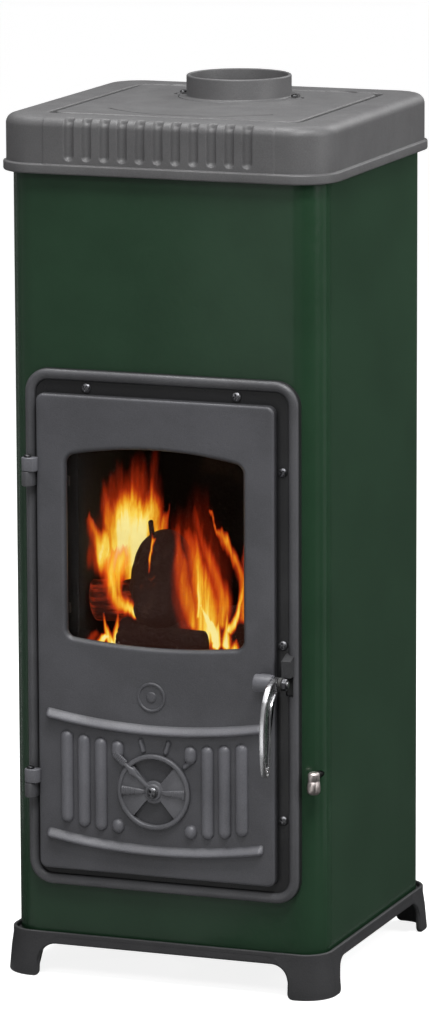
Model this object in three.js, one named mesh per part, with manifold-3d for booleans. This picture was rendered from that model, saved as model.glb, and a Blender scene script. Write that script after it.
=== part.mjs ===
// Upright workshop stove for solid fuel: an enamelled casing on a cast base with four feet, a cast
// top plate with a flue collar, and one cast door with a window, an air rosette and a lever latch.
// Millimetres, +Z up, the front faces -Y. Places are measured from the middle of the casing at floor
// level, and the whole stove is moved at the end so that the origin is under the middle of its box.
import * as THREE from 'three';
import { mergeVertices } from 'three/addons/utils/BufferGeometryUtils.js';
import Module from 'manifold-3d';

const wasm = await Module();
wasm.setup();

// Gap between two pieces that touch, and how far a cutter runs past the face that it cuts.
const fit = 0.3;
const overrun = 3;

// Casing: an enamelled sheet wrap, a rounded rectangle in plan.
const casingWidth = 374;
const casingDepth = 360;
const casingRadius = 35;
const casingSheet = 2;

// Base: a cast ring with a rim round the casing, a flange under it and a foot at each corner.
const skirtBottom = 41;
const flangeThickness = 6;
const rimTop = 54;
const rimOverhang = 6;
const rimWall = 4;
const rimRadius = 32;
const footOverhang = 11;
const footWall = 6.5;
const frontFeetGap = 301;
const sideFeetGap = 276;
const archRadius = 20;
const toeRadius = 7;
const flangeReach = 34;
const basePlateSheet = 3;

// Top plate: a cast hood with a lip, a filleted top edge and a fluted front.
const lipBottom = 921;
const lipHeight = 11;
const lipOverhang = 11.5;
const lipChamfer = 1.5;
const hoodHeight = 52.4;
const lipTop = lipBottom + lipHeight;
const plateTop = lipTop + hoodHeight;
const plateOverhang = 8;
const plateFillet = 11;
const plateWall = 7;
const plateRoof = 10;
const plateSeat = 7;
const plateSeatOverlap = 4;
const frontPanelWidth = 273;
const frontPanelProud = 1.2;
const grooveCount = 11;
const groovePitch = 21.1;
const grooveRadius = 6.5;
const grooveDepth = 3.6;
const grooveLipGap = 4;
const grooveBottom = lipTop + grooveLipGap;

// Top cover: the loose plate in the top, and the flue collar on it.
const coverWidth = 288;
const coverFront = -140;
const coverBack = 138;
const coverThickness = 5;
const coverRadius = 14;
const coverGap = 7;
const coverLedge = 8;
const notchRadius = 26;
const notchReach = 9;
const notchOffset = 96;
const flueY = 69;
const flueRadius = 60;
const flueWall = 4;
const flueHeight = 25;
const flueRecessRadius = 77;
const flueRecessDepth = 1.6;
const flueFlangeRadius = 68;
const flueFlangeThickness = 3;
const flueHoleRadius = 54;
const flueEarRadius = 8;
const flueEarPlace = 67.5;

// Door frame: a cast flange over the cut-out in the casing, with a raised bead round its edge.
const frameLeftMargin = 16;
const frameRightMargin = 26;
const frameBottom = 109.5;
const frameTop = 702.5;
const frameRadius = 28;
const frameFlat = 4.5;
const frameDepthBehind = 6;
const beadWidth = 13;
const beadHeight = 5.5;
const spigotWall = 5;
const spigotDepth = 4;
const frameScrewSpread = 179;
const frameScrewTopInset = 20.5;
const frameScrewSideInset = 19.5;
const frameScrewHigh = 600;
const frameScrewMiddle = 405;
const frameScrewLow = 205;

// Door: a cast plate with a turned back edge, and what stands on its face.
const doorLeft = -145.5;
const doorRight = 138.5;
const doorBottom = 130;
const doorTop = 675;
const doorRadius = 9;
const doorThickness = 11;
const doorGap = 0.5;
const doorPlate = 6;
const doorEdge = 3;
const doorRim = 5;
const doorLap = 14;
const doorInnerRim = 3;
const openingRadius = 8;

// Window, glass and what holds the glass.
const windowLeft = -110;
const windowRight = 101.5;
const windowBottom = 400;
const windowTop = 606;
const windowBottomSag = 7;
const windowTopRise = 11.5;
const windowRadius = 9;
const windowBevel = 3.5;
const glassLap = 9;
const glassThickness = 4;
const glassSealThickness = 2;
const glassSealInset = 2;
const clipLength = 20;
const clipWidth = 11;
const clipSheet = 1.8;
const clipLow = 430;
const clipHigh = 575;
const clipScrewRadius = 2;
const clipBossRadius = 4.5;
const clipBossGap = 2;

// Raised ornament on the door: two bowed ribs with upright flutes between them.
const ribLeft = -132;
const ribRight = 122;
const ribWidth = 12.5;
const ribHeight = 4.5;
const ribSag = 8;
const upperRibTop = 305;
const lowerRibTop = 165;
const fluteWidth = 10;
const fluteHeight = 2.8;
const flutePitch = 20.4;
const fluteColumns = 4;
const fluteInner = 43.7;
const fluteTop = 283;
const fluteBottom = 179;
const fluteSpread = 8;
const fluteClear = 59;
const medallionX = -8;
const medallionZ = 337;
const medallionRadius = 17;
const medallionHeight = 1.6;

// Air rosette: a turning disc over two openings in the door, with a pointer and three marks.
const rosetteX = -5;
const rosetteZ = 229;
const rosetteRadius = 43.5;
const rosetteThickness = 3;
const rosetteRimWidth = 5;
const rosetteRimHeight = 2;
const rosetteHubRadius = 9.5;
const rosetteHubHeight = 2.5;
const sectorInner = 13;
const sectorOuter = 38;
const sectorHalfAngle = 40;
const airHalfAngle = 38;
const airOuter = 35;
const gripLength = 28;
const gripInnerWidth = 5;
const gripOuterWidth = 11;
const gripHeight = 4;
const pointerAngle = 138;
const pointerStep = 32.5;
const pointerStops = 4;
const pointerReach = 62;
const pointerTab = 16;
const pointerTabWidth = 8;
const pointerArmWidth = 5;
const pointerHeight = 3.6;
const markWidth = 6;
const markHeight = 1.6;
const pivotRadius = 3;
const pivotNutWidth = 10;
const pivotNutHeight = 3;

// Hinge: two lugs on the frame under two on the door, with a domed pin in each pair.
const hingeX = -153.5;
const hingeY = -200;
const lugRadius = 7;
const frameLugHeight = 16.5;
const doorLugHeight = 15.5;
const lugSplit = 0.6;
const upperHingeZ = 586.5;
const lowerHingeZ = 229;
const pinRadius = 3;
const pinHeadRadius = 4.4;
const pinHeadHeight = 3;

// Latch: a shaft in a boss on the door, with a hanging lever, a cam and a nut.
const shaftY = -208;
const shaftZ = 366;
const shaftRadius = 4;
const bossLeft = 120;
const bossRight = 141.7;
const bossRadius = 10;
const bossWall = 4;
const leverThickness = 6.5;
const leverHubRadius = 8.2;
const leverReach = 47.5;
const leverDrop = 99;
const leverRim = 3.2;
const leverPocket = 2;
const leverEyeRadius = 2.2;
const camThickness = 4;
const camReach = 21;
const camHeight = 11.5;
const nutWidth = 12;
const nutHeight = 5;
const keeperWidth = 11;
const keeperFront = -201.5;
const keeperHeight = 19;
const keeperSlope = 6;
const pocketWidth = 10;
const pocketHeight = 24;

// Firebox: cast plates and fire-clay linings on the base plate, with the grate between them.
const fireboxSideGap = 45;
const fireboxWidth = casingWidth - 2 * fireboxSideGap;
const fireboxPlate = 6;
const fireboxBack = 150;
const fireboxFrontPlate = 5;
const liningThickness = 25;
const liningTop = 640;
const ashFloorTop = 146;
const ashFloorSheet = 4;
const railTop = 236;
const railDepth = 6;
const railReach = 12;
const grateFrameThickness = 11.7;
const grateOpeningWidth = 200;
const grateOpeningDepth = 200;
const grateSideGap = 6.7;
const grateRearGap = 10.7;
const grateThickness = 13;
const grateBars = 9;
const grateBarShare = 0.55;
const grateBorder = 16;
const baffleThickness = 10;
const baffleFront = -95;
const retainerBack = -141;
const retainerThickness = 9;
const retainerSideGap = 17;
const retainerWidth = fireboxWidth - 2 * retainerSideGap;
const retainerTop = 375;
const retainerSlots = 7;
const retainerSlotShare = 0.5;
const retainerBorder = 16;

// Grate shaker: a rod beside the firebox, with a cross arm to the grate and a hanging knob.
const riddleTravel = 25;
const rodRadius = 3.5;
const rodX = 180;
const rodZ = 257;
const rodFront = -180;
const armY = 52;
const rodClearance = 0.8;
const knobY = -182;
const knobRadius = 7.6;
const knobTop = 263;
const knobBottom = 237;

// Ash pan.
const panCentreX = -3.5;
const panWidth = 226;
const panFront = -165;
const panBack = 135;
const panHeight = 75;
const panSheet = 2;
const panHandleSpan = 70;
const panHandleReach = 10;
const panHandleHeight = 12;
const panHandleSheet = 2.5;

// Rear panel: a sheet over a cut-out in the back of the casing, with upright air slots.
const rearWidth = 292;
const rearBottom = 76;
const rearLipGap = 25;
const rearTop = lipBottom - rearLipGap;
const rearSheet = 1.2;
const rearOpeningWidth = 236;
const rearOpeningMargin = 28;
const rearSlotColumns = 7;
const rearSlotRows = 2;
const rearSlotWidth = 8;
const rearSlotHeight = 190;
const rearScrewInset = 10;

// Screws: radii and heights of their heads, and radii of their shanks.
const screwHeadRadius = 4.4;
const screwHeadHeight = 2.6;
const screwShankRadius = 2.3;
const crossWidth = 1.3;
const crossLength = 4.6;
const crossDepth = 1.4;

// How finely round shapes are cut into flats.
const cornerSteps = 5;
const slotSteps = 1;
const filletSteps = 3;
const domeSteps = 2;
const screwSides = 8;
const fluteSides = 8;
const fluteEndSteps = 2;
const roundSides = 12;
const wideRoundSides = 36;

// Places that follow from the sizes above.
const casingFront = -casingDepth / 2;
const casingBack = casingDepth / 2;
const flangeTop = skirtBottom + flangeThickness;
const frameLeft = doorLeft - frameLeftMargin;
const frameRight = doorRight + frameRightMargin;
const frameWidth = frameRight - frameLeft;
const frameCentreX = (frameLeft + frameRight) / 2;
const casingBottom = flangeTop + fit;
const casingTop = lipBottom - fit;
const basePlateTop = casingBottom + basePlateSheet;
const roofBottom = plateTop - plateRoof;
const frameFace = casingFront - frameFlat;
const doorBackFace = frameFace - doorGap;
const doorFace = doorBackFace - doorThickness;
const doorPlateBack = doorFace + doorPlate;
const doorCentreX = (doorLeft + doorRight) / 2;
const openingLeft = doorLeft + doorLap;
const openingRight = doorRight - doorLap;
const openingBottom = doorBottom + doorLap;
const openingTop = doorTop - doorLap;
const fireboxFront = casingFront + spigotDepth + fit;
const fireboxInnerFront = fireboxFront + fireboxFrontPlate;
const fireboxInnerBack = fireboxBack - fireboxPlate;
const fireboxTop = roofBottom - fit;
const grateFrameBottom = railTop + fit;
const grateFrameTop = grateFrameBottom + grateFrameThickness;
const hearthZ = grateFrameTop + fit;
const liningInner = fireboxWidth / 2 - fit - liningThickness;
const liningFront = retainerBack + fit;
const grateWidth = 2 * (liningInner - grateSideGap);
const liningRearFront = fireboxInnerBack - fit - liningThickness;
const grateDepth = 2 * (liningRearFront - grateRearGap);

const stove = new THREE.Group();

// Colours, roughness and metalness of the finishes.
const finishes = {
  enamel: { color: 0x1c3a28, roughness: 0.28, metalness: 0 },
  castIron: { color: 0x4b4b50, roughness: 0.62, metalness: 0.35 },
  blackCast: { color: 0x2c2c2f, roughness: 0.7, metalness: 0.3 },
  blackSheet: { color: 0x232325, roughness: 0.6, metalness: 0.3 },
  firebrick: { color: 0xb59a72, roughness: 0.95, metalness: 0 },
  glass: { color: 0x9a938a, roughness: 0.05, metalness: 0, transparent: true, opacity: 0.3 },
  rope: { color: 0x6f6c66, roughness: 1, metalness: 0 },
  chrome: { color: 0xd8d8da, roughness: 0.12, metalness: 1 },
  steel: { color: 0x8f9093, roughness: 0.35, metalness: 0.9 },
};
const materials = Object.fromEntries(
  Object.entries(finishes).map(([name, values]) => [name, new THREE.MeshStandardMaterial(values)]),
);

// A geometry as a closed solid that can be joined and cut.
function solid(geometry) {
  const bare = new THREE.BufferGeometry();
  const source = geometry.index ? geometry.toNonIndexed() : geometry;
  bare.setAttribute('position', source.getAttribute('position'));
  const merged = mergeVertices(bare, fit / 1000);
  const index = merged.index.array;
  const kept = [];
  for (let i = 0; i < index.length; i += 3) {
    const [a, b, c] = [index[i], index[i + 1], index[i + 2]];
    if (a !== b && b !== c && c !== a) kept.push(a, b, c);
  }
  const vertProperties = merged.getAttribute('position').array;
  const faces = signedVolume(vertProperties, kept) < 0 ? kept.reverse() : kept;
  return new wasm.Manifold(new wasm.Mesh({ numProp: 3, vertProperties, triVerts: new Uint32Array(faces) }));
}

// Six times the volume inside a closed mesh, negative where its faces point inwards.
function signedVolume(points, index) {
  const corner = (i) => new THREE.Vector3().fromArray(points, index[i] * 3);
  let sum = 0;
  for (let i = 0; i < index.length; i += 3) {
    sum += corner(i).dot(corner(i + 1).cross(corner(i + 2)));
  }
  return sum;
}

const join = (...solids) => solids.reduce((whole, next) => whole.add(next));
const cut = (whole, ...cutters) => cutters.reduce((left, next) => left.subtract(next), whole);

// Puts a named piece into the stove.
function piece(name, shape, material) {
  const mesh = shape.getMesh();
  const geometry = new THREE.BufferGeometry();
  geometry.setAttribute('position', new THREE.BufferAttribute(new Float32Array(mesh.vertProperties), 3));
  geometry.setIndex(new THREE.BufferAttribute(new Uint32Array(mesh.triVerts), 1));
  geometry.computeVertexNormals();
  const made = new THREE.Mesh(geometry, materials[material]);
  made.name = name;
  stove.add(made);
}

// The corner points of a rounded rectangle, with extra points along its first and third edges.
function roundedOutline(left, right, low, high, radius, edgeSteps = 1, steps = cornerSteps) {
  const corners = [
    [right - radius, low + radius, -90],
    [right - radius, high - radius, 0],
    [left + radius, high - radius, 90],
    [left + radius, low + radius, 180],
  ];
  const points = [];
  corners.forEach(([cx, cy, start], corner) => {
    for (let i = 0; i <= steps; i++) {
      const angle = THREE.MathUtils.degToRad(start + (90 * i) / steps);
      points.push([cx + radius * Math.cos(angle), cy + radius * Math.sin(angle)]);
    }
    if (corner % 2) {
      const from = points[points.length - 1];
      const [nx, ny, nextStart] = corners[(corner + 1) % 4];
      const angle = THREE.MathUtils.degToRad(nextStart);
      const to = [nx + radius * Math.cos(angle), ny + radius * Math.sin(angle)];
      for (let i = 1; i < edgeSteps; i++) {
        points.push([0, 1].map((k) => THREE.MathUtils.lerp(from[k], to[k], i / edgeSteps)));
      }
    }
  });
  return points;
}

const levelRing = (points, z) => points.map(([x, y]) => new THREE.Vector3(x, y, z));
const frontRing = (points, y) => points.map(([x, z]) => new THREE.Vector3(x, y, z));

// The casing's outline in plan, moved outwards, at height z.
function casingRing(overhang, z, radius = casingRadius + overhang) {
  const x = casingWidth / 2 + overhang;
  const y = casingDepth / 2 + overhang;
  return levelRing(roundedOutline(-x, x, -y, y, Math.max(radius, fit)), z);
}

// A skin through rings of equally many points, closed by a cap at each end or back on itself.
function skin(rings, closed) {
  const size = rings[0].length;
  const points = rings.flat();
  const index = [];
  const last = closed ? rings.length : rings.length - 1;
  for (let r = 0; r < last; r++) {
    const next = (r + 1) % rings.length;
    for (let i = 0; i < size; i++) {
      const j = (i + 1) % size;
      const [a, b, c, d] = [r * size + i, r * size + j, next * size + j, next * size + i];
      index.push(a, b, c, a, c, d);
    }
  }
  if (!closed) {
    const far = (rings.length - 1) * size;
    for (let i = 1; i < size - 1; i++) {
      index.push(0, i + 1, i, far, far + i, far + i + 1);
    }
  }
  const geometry = new THREE.BufferGeometry().setFromPoints(points);
  geometry.setIndex(index);
  return solid(geometry);
}
const loft = (rings) => skin(rings, false);
const hoop = (rings) => skin(rings, true);

// A flat shape pushed along an axis: upright ones are drawn in X and Z, side ones in Y and Z.
function slab(points, axis, from, to) {
  const shape = new THREE.Shape(points.map(([a, b]) => new THREE.Vector2(a, b)));
  const geometry = new THREE.ExtrudeGeometry(shape, { depth: to - from, bevelEnabled: false });
  if (axis === 'z') geometry.translate(0, 0, from);
  if (axis === 'y') geometry.rotateX(Math.PI / 2).translate(0, to, 0);
  if (axis === 'x') geometry.rotateZ(Math.PI / 2).rotateY(Math.PI / 2).translate(from, 0, 0);
  return solid(geometry);
}

function block(x0, x1, y0, y1, z0, z1) {
  const geometry = new THREE.BoxGeometry(x1 - x0, y1 - y0, z1 - z0);
  geometry.translate((x0 + x1) / 2, (y0 + y1) / 2, (z0 + z1) / 2);
  return solid(geometry);
}

// A turned shape about an axis through a place: its profile runs along the axis, outwards in radius.
function turned(profile, axis, place, sides = roundSides) {
  const geometry = new THREE.LatheGeometry(profile.map(([r, h]) => new THREE.Vector2(r, h)), sides);
  if (axis === 'z') geometry.rotateX(Math.PI / 2);
  if (axis === 'x') geometry.rotateZ(-Math.PI / 2);
  if (axis === 'front') geometry.rotateX(Math.PI);
  geometry.translate(...place);
  return solid(geometry);
}
const rod = (radius, from, to, axis, place, sides) =>
  turned([[0, from], [radius, from], [radius, to], [0, to]], axis, place, sides);
const tube = (inner, outer, from, to, axis, place, sides) =>
  turned([[inner, from], [outer, from], [outer, to], [inner, to], [inner, from]], axis, place, sides);

// A hexagonal nut with its hole, along an axis.
function hexNut(width, hole, from, to, axis, place) {
  const corner = width / Math.sqrt(3);
  return cut(rod(corner, from, to, axis, place, 6), rod(hole, from - overrun, to + overrun, axis, place));
}

// A screw seen from the front: a domed head with a cross recess, on a shank that runs backwards.
function crossScrew(x, y, z, shank, headRadius = screwHeadRadius, shankRadius = screwShankRadius) {
  const height = (screwHeadHeight * headRadius) / screwHeadRadius;
  const dome = [[0, -shank], [shankRadius, -shank], [shankRadius, 0], [headRadius, 0]];
  for (let i = 1; i <= domeSteps; i++) {
    const angle = (Math.PI / 2) * (i / domeSteps);
    dome.push([i === domeSteps ? 0 : headRadius * Math.cos(angle), height * Math.sin(angle)]);
  }
  const body = turned(dome, 'front', [x, y, z], screwSides);
  const [w, l, top] = [crossWidth / 2, crossLength / 2, y - height];
  const deep = top + crossDepth;
  return cut(
    body,
    block(x - w, x + w, top - overrun, deep, z - l, z + l),
    block(x - l, x + l, top - overrun, deep, z - w, z + w),
  );
}

// Base.

function overhangAt(z, atRim, atFoot) {
  return THREE.MathUtils.lerp(atFoot, atRim, z / rimTop);
}

function baseWallRing(z, inner) {
  const atRim = inner ? rimOverhang - rimWall : rimOverhang;
  const atFoot = inner ? footOverhang - footWall : footOverhang;
  const overhang = overhangAt(z, atRim, atFoot);
  return casingRing(overhang, z, rimRadius + overhang - rimOverhang);
}

// The outline of the space between two feet: round shoulders above, and toes that widen at the floor.
function archOutline(gap) {
  const half = gap / 2;
  const side = [];
  for (let i = 0; i <= cornerSteps; i++) {
    const angle = (Math.PI / 2) * (i / cornerSteps);
    side.push([half + toeRadius * (1 - Math.sin(angle)), toeRadius * (1 - Math.cos(angle))]);
  }
  for (let i = 0; i <= cornerSteps; i++) {
    const angle = (Math.PI / 2) * (i / cornerSteps);
    side.push([half - archRadius * (1 - Math.cos(angle)), skirtBottom - archRadius * (1 - Math.sin(angle))]);
  }
  const right = [[half + toeRadius, -overrun], ...side];
  const left = right.map(([a, b]) => [-a, b]).reverse();
  return [...right, ...left];
}

function baseFrame() {
  const wall = cut(
    loft([baseWallRing(0, false), baseWallRing(rimTop, false)]),
    loft([baseWallRing(-overrun, true), baseWallRing(rimTop + overrun, true)]),
  );
  const flange = cut(
    loft([skirtBottom, flangeTop].map((z) => casingRing(rimOverhang - rimWall / 2, z, rimRadius))),
    loft([casingRing(-flangeReach, skirtBottom - overrun), casingRing(-flangeReach, flangeTop + overrun)]),
  );
  const reach = Math.max(casingWidth, casingDepth);
  return cut(
    join(wall, flange),
    slab(archOutline(frontFeetGap), 'y', -reach, reach),
    slab(archOutline(sideFeetGap), 'x', -reach, reach),
  );
}

function basePlate() {
  return loft([casingRing(-casingSheet - fit, casingBottom), casingRing(-casingSheet - fit, basePlateTop)]);
}

piece('base_frame', baseFrame(), 'castIron');
piece('base_plate', basePlate(), 'blackSheet');

// Casing and rear panel.

const frameScrewPlaces = [
  ...[-1, 1].map((side) => [frameCentreX + (side * frameScrewSpread) / 2, frameTop - frameScrewTopInset]),
  ...[frameScrewHigh, frameScrewMiddle, frameScrewLow].map((z) =>
    [frameCentreX + frameWidth / 2 - frameScrewSideInset, z]),
];
const spigotLeft = openingLeft - spigotWall;
const spigotRight = openingRight + spigotWall;
const spigotBottom = openingBottom - spigotWall;
const spigotTop = openingTop + spigotWall;
const rearHalf = rearWidth / 2;
const rearScrewPlaces = [-1, 1].flatMap((side) => [
  [side * (rearHalf - rearScrewInset), rearBottom + rearScrewInset],
  [side * (rearHalf - rearScrewInset), rearTop - rearScrewInset],
]);

function casing() {
  const shell = cut(
    loft([casingRing(0, casingBottom), casingRing(0, casingTop)]),
    loft([casingRing(-casingSheet, casingBottom - overrun), casingRing(-casingSheet, casingTop + overrun)]),
  );
  const doorway = roundedOutline(
    spigotLeft - fit, spigotRight + fit, spigotBottom - fit, spigotTop + fit, openingRadius + spigotWall,
  );
  const rearway = roundedOutline(
    -rearOpeningWidth / 2, rearOpeningWidth / 2,
    rearBottom + rearOpeningMargin, rearTop - rearOpeningMargin, openingRadius,
  );
  const holes = frameScrewPlaces.map(([x, z]) =>
    rod(screwShankRadius + fit, -casingSheet - overrun, casingSheet + overrun, 'front', [x, casingFront, z]),
  );
  const rearHoles = rearScrewPlaces.map(([x, z]) =>
    rod(screwShankRadius + fit, -overrun, casingSheet + overrun, 'front', [x, casingBack, z]),
  );
  return cut(
    shell,
    slab(doorway, 'y', casingFront - overrun, casingFront + casingSheet + overrun),
    slab(rearway, 'y', casingBack - casingSheet - overrun, casingBack + overrun),
    rod(rodRadius + rodClearance, 0, casingRadius + overrun, 'front', [rodX, casingFront + casingRadius, rodZ]),
    ...holes,
    ...rearHoles,
  );
}

function rearPanel() {
  const near = casingBack + fit;
  const plate = slab(
    roundedOutline(-rearHalf, rearHalf, rearBottom, rearTop, openingRadius), 'y', near, near + rearSheet,
  );
  const slots = [];
  for (let row = 0; row < rearSlotRows; row++) {
    for (let column = 0; column < rearSlotColumns; column++) {
      const x = ((column + 1) / (rearSlotColumns + 1) - 1 / 2) * rearOpeningWidth;
      const z = rearBottom + ((row + 1 / 2) / rearSlotRows) * (rearTop - rearBottom);
      const [w, h] = [rearSlotWidth / 2, rearSlotHeight / 2];
      slots.push(slab(
        roundedOutline(x - w, x + w, z - h, z + h, w * 0.9, 1, slotSteps),
        'y', near - overrun, near + rearSheet + overrun,
      ));
    }
  }
  const holes = rearScrewPlaces.map(([x, z]) =>
    rod(screwShankRadius + fit, -rearSheet - overrun, overrun, 'front', [x, near, z]),
  );
  return cut(plate, ...slots, ...holes);
}

piece('casing', casing(), 'enamel');
piece('rear_panel', rearPanel(), 'blackSheet');
rearScrewPlaces.forEach(([x, z], i) => {
  const seat = casingBack + rearSheet + 2 * fit;
  const screw = crossScrew(-x, -seat, z, rearSheet + casingSheet + 2 * fit);
  piece(`rear_screw_${i + 1}`, screw.rotate([0, 0, 180]), 'steel');
});

// Top plate.

// The outside of the hood above and with its lip, as rings from below upwards.
function hoodRings(lip) {
  const rings = lip
    ? [
      casingRing(lipOverhang - lipChamfer, lipBottom),
      casingRing(lipOverhang, lipBottom + lipChamfer),
      casingRing(lipOverhang, lipTop - lipChamfer),
      casingRing(lipOverhang - lipChamfer, lipTop),
    ]
    : [];
  rings.push(casingRing(plateOverhang, lipTop));
  for (let i = 0; i <= filletSteps; i++) {
    const angle = (Math.PI / 2) * (i / filletSteps);
    const overhang = plateOverhang - plateFillet * (1 - Math.cos(angle));
    rings.push(casingRing(overhang, plateTop - plateFillet * (1 - Math.sin(angle))));
  }
  return rings;
}

const hoodFace = casingFront - plateOverhang - frontPanelProud;
const coverHoleLeft = -coverWidth / 2 - coverGap;
const coverHoleFront = coverFront - coverGap;
const coverHoleBack = coverBack + coverGap;

function topPlate() {
  const half = frontPanelWidth / 2;
  const panel = loft(hoodRings(false))
    .translate([0, -frontPanelProud, 0])
    .intersect(block(-half, half, -casingDepth, casingFront + plateFillet, lipTop - fit, plateTop + overrun));
  const inside = join(
    loft([casingRing(-plateSeatOverlap, lipBottom - overrun), casingRing(-plateSeatOverlap, roofBottom)]),
    loft([lipBottom + plateSeat, roofBottom].map((z) => casingRing(plateOverhang - plateWall, z))),
  );
  const grooves = [];
  for (let i = 0; i < grooveCount; i++) {
    const x = (i - (grooveCount - 1) / 2) * groovePitch;
    const profile = [];
    for (let k = 0; k <= filletSteps; k++) {
      const angle = (Math.PI / 2) * (k / filletSteps);
      profile.push([k ? grooveRadius * Math.sin(angle) : 0, grooveRadius * (1 - Math.cos(angle))]);
    }
    profile.push([grooveRadius, plateTop + overrun - grooveBottom], [0, plateTop + overrun - grooveBottom]);
    grooves.push(turned(profile, 'z', [x, hoodFace + grooveDepth - grooveRadius, grooveBottom]));
  }
  const seatZ = plateTop - coverThickness - fit;
  const notches = [-1, 1].map((side) =>
    rod(notchRadius, plateTop - coverThickness / 2, plateTop + overrun, 'z',
      [side * notchOffset, coverHoleBack + notchReach - notchRadius, 0], wideRoundSides),
  );
  const ledge = coverGap + coverLedge;
  return cut(
    join(loft(hoodRings(true)), panel),
    inside,
    ...grooves,
    slab(roundedOutline(coverHoleLeft, -coverHoleLeft, coverHoleFront, coverHoleBack, coverRadius),
      'z', seatZ, plateTop + overrun),
    slab(roundedOutline(coverHoleLeft + ledge, -coverHoleLeft - ledge, coverHoleFront + ledge,
      coverHoleBack - ledge, coverRadius), 'z', roofBottom - overrun, plateTop),
    ...notches,
  );
}

const flueEars = [-1, 1].map((side) => [side * flueEarPlace, flueY]);
const flueSeat = plateTop - flueRecessDepth + fit;

function topCover() {
  const outline = roundedOutline(-coverWidth / 2, coverWidth / 2, coverFront, coverBack, coverRadius);
  const place = [0, flueY, 0];
  const screwHoles = flueEars.map(([x, y]) =>
    rod(screwShankRadius + fit, plateTop - coverThickness - overrun, plateTop + overrun, 'z', [x, y, 0]));
  return cut(
    slab(outline, 'z', plateTop - coverThickness, plateTop),
    rod(flueHoleRadius, plateTop - coverThickness - overrun, plateTop + overrun, 'z', place, wideRoundSides),
    rod(flueRecessRadius, plateTop - flueRecessDepth, plateTop + overrun, 'z', place, wideRoundSides),
    ...screwHoles,
  );
}

function flueCollar() {
  const place = [0, flueY, flueSeat];
  const rise = flueHeight + flueRecessDepth - fit;
  const inner = flueRadius - flueWall;
  const ears = flueEars.map(([x, y]) => rod(flueEarRadius, 0, flueFlangeThickness, 'z', [x, y, flueSeat]));
  const holes = flueEars.map(([x, y]) =>
    rod(screwShankRadius + fit, -overrun, flueFlangeThickness + overrun, 'z', [x, y, flueSeat]));
  return cut(
    join(
      rod(flueRadius, 0, rise, 'z', place, wideRoundSides),
      rod(flueFlangeRadius, 0, flueFlangeThickness, 'z', place, wideRoundSides),
      ...ears,
    ),
    rod(inner, -overrun, rise + overrun, 'z', place, wideRoundSides),
    ...holes,
  );
}

piece('top_plate', topPlate(), 'castIron');
piece('top_cover', topCover(), 'castIron');
piece('flue_collar', flueCollar(), 'castIron');
flueEars.forEach(([x, y], i) => {
  const upright = crossScrew(0, 0, 0, flueFlangeThickness + coverThickness - flueRecessDepth).rotate([-90, 0, 0]);
  piece(`collar_screw_${i + 1}`, upright.translate([x, y, flueSeat + flueFlangeThickness + fit]), 'steel');
});

// Door frame.

function frameRing(inset, y) {
  const half = frameWidth / 2 - inset;
  return frontRing(
    roundedOutline(frameCentreX - half, frameCentreX + half, frameBottom + inset, frameTop - inset,
      frameRadius - inset),
    y,
  );
}

// The raised bead round the frame, from its outer edge over the crest to the flat inside it.
const beadShares = [[0, 0], [0.04, 0.5], [0.2, 0.88], [0.42, 1], [0.66, 0.88], [0.88, 0.5], [1, 0]];

function frameBead(grow = 0) {
  const rings = beadShares.map(([across, up]) =>
    frameRing(across * beadWidth + grow * (2 * across - 1), frameFace - up * (beadHeight + grow)));
  const root = frameFace + frameFlat / 2;
  return hoop([...rings, frameRing(beadWidth + grow, root), frameRing(-grow, root)]);
}

const upperLug = upperHingeZ;
const lowerLug = lowerHingeZ;

// The plan outline of a hinge lug: round about the pin, with straight sides to a wall beside or behind it.
function lugOutline(wall) {
  const points = [];
  for (let i = 0; i <= 2 * cornerSteps; i++) {
    const angle = Math.PI + (Math.PI * i) / (2 * cornerSteps);
    points.push([hingeX + lugRadius * Math.cos(angle), hingeY + lugRadius * Math.sin(angle)]);
  }
  return [...points, [hingeX + lugRadius, wall], [hingeX - lugRadius, wall]];
}

const camLeft = bossRight + fit + leverThickness + fit;

function doorFrame() {
  const flange = loft([
    frameRing(0, casingFront + frameDepthBehind),
    frameRing(0, frameFace),
  ]);
  const behind = loft([casingRing(fit, casingBottom), casingRing(fit, casingTop)]);
  const spigot = slab(
    roundedOutline(spigotLeft, spigotRight, spigotBottom, spigotTop, openingRadius + spigotWall - fit),
    'y', frameFace + fit, casingFront + spigotDepth,
  );
  const lugs = [upperLug, lowerLug].map((z) =>
    slab(lugOutline(frameFace + fit), 'z', z - frameLugHeight, z));
  const pinHoles = [upperLug, lowerLug].map((z) =>
    rod(pinRadius + fit, z - frameLugHeight - overrun, z + overrun, 'z', [hingeX, hingeY, 0]));
  const screwHoles = frameScrewPlaces.map(([x, z]) =>
    rod(screwShankRadius + fit, -overrun, frameFlat + overrun, 'front', [x, casingFront, z]));
  const opening = slab(
    roundedOutline(openingLeft, openingRight, openingBottom, openingTop, openingRadius),
    'y', frameFace - overrun, casingFront + frameDepthBehind + overrun,
  );
  const pocketTop = shaftZ + camHeight / 2 + fit;
  const pocket = block(
    camLeft - fit, camLeft + pocketWidth, frameFace - beadHeight - overrun, frameFace + frameFlat / 2,
    pocketTop - pocketHeight, pocketTop,
  );
  return cut(
    join(cut(join(flange, frameBead()), behind), spigot, ...lugs),
    opening, pocket, ...pinHoles, ...screwHoles,
  );
}

const keeperBottom = shaftZ + camHeight / 2 + fit;

function latchKeeper() {
  const back = frameFace - fit;
  const top = keeperBottom + keeperHeight;
  const outline = [
    [back, keeperBottom], [back, top + keeperSlope], [keeperFront, top], [keeperFront, keeperBottom],
  ];
  return cut(slab(outline, 'x', camLeft, camLeft + keeperWidth), frameBead(fit));
}

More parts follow.
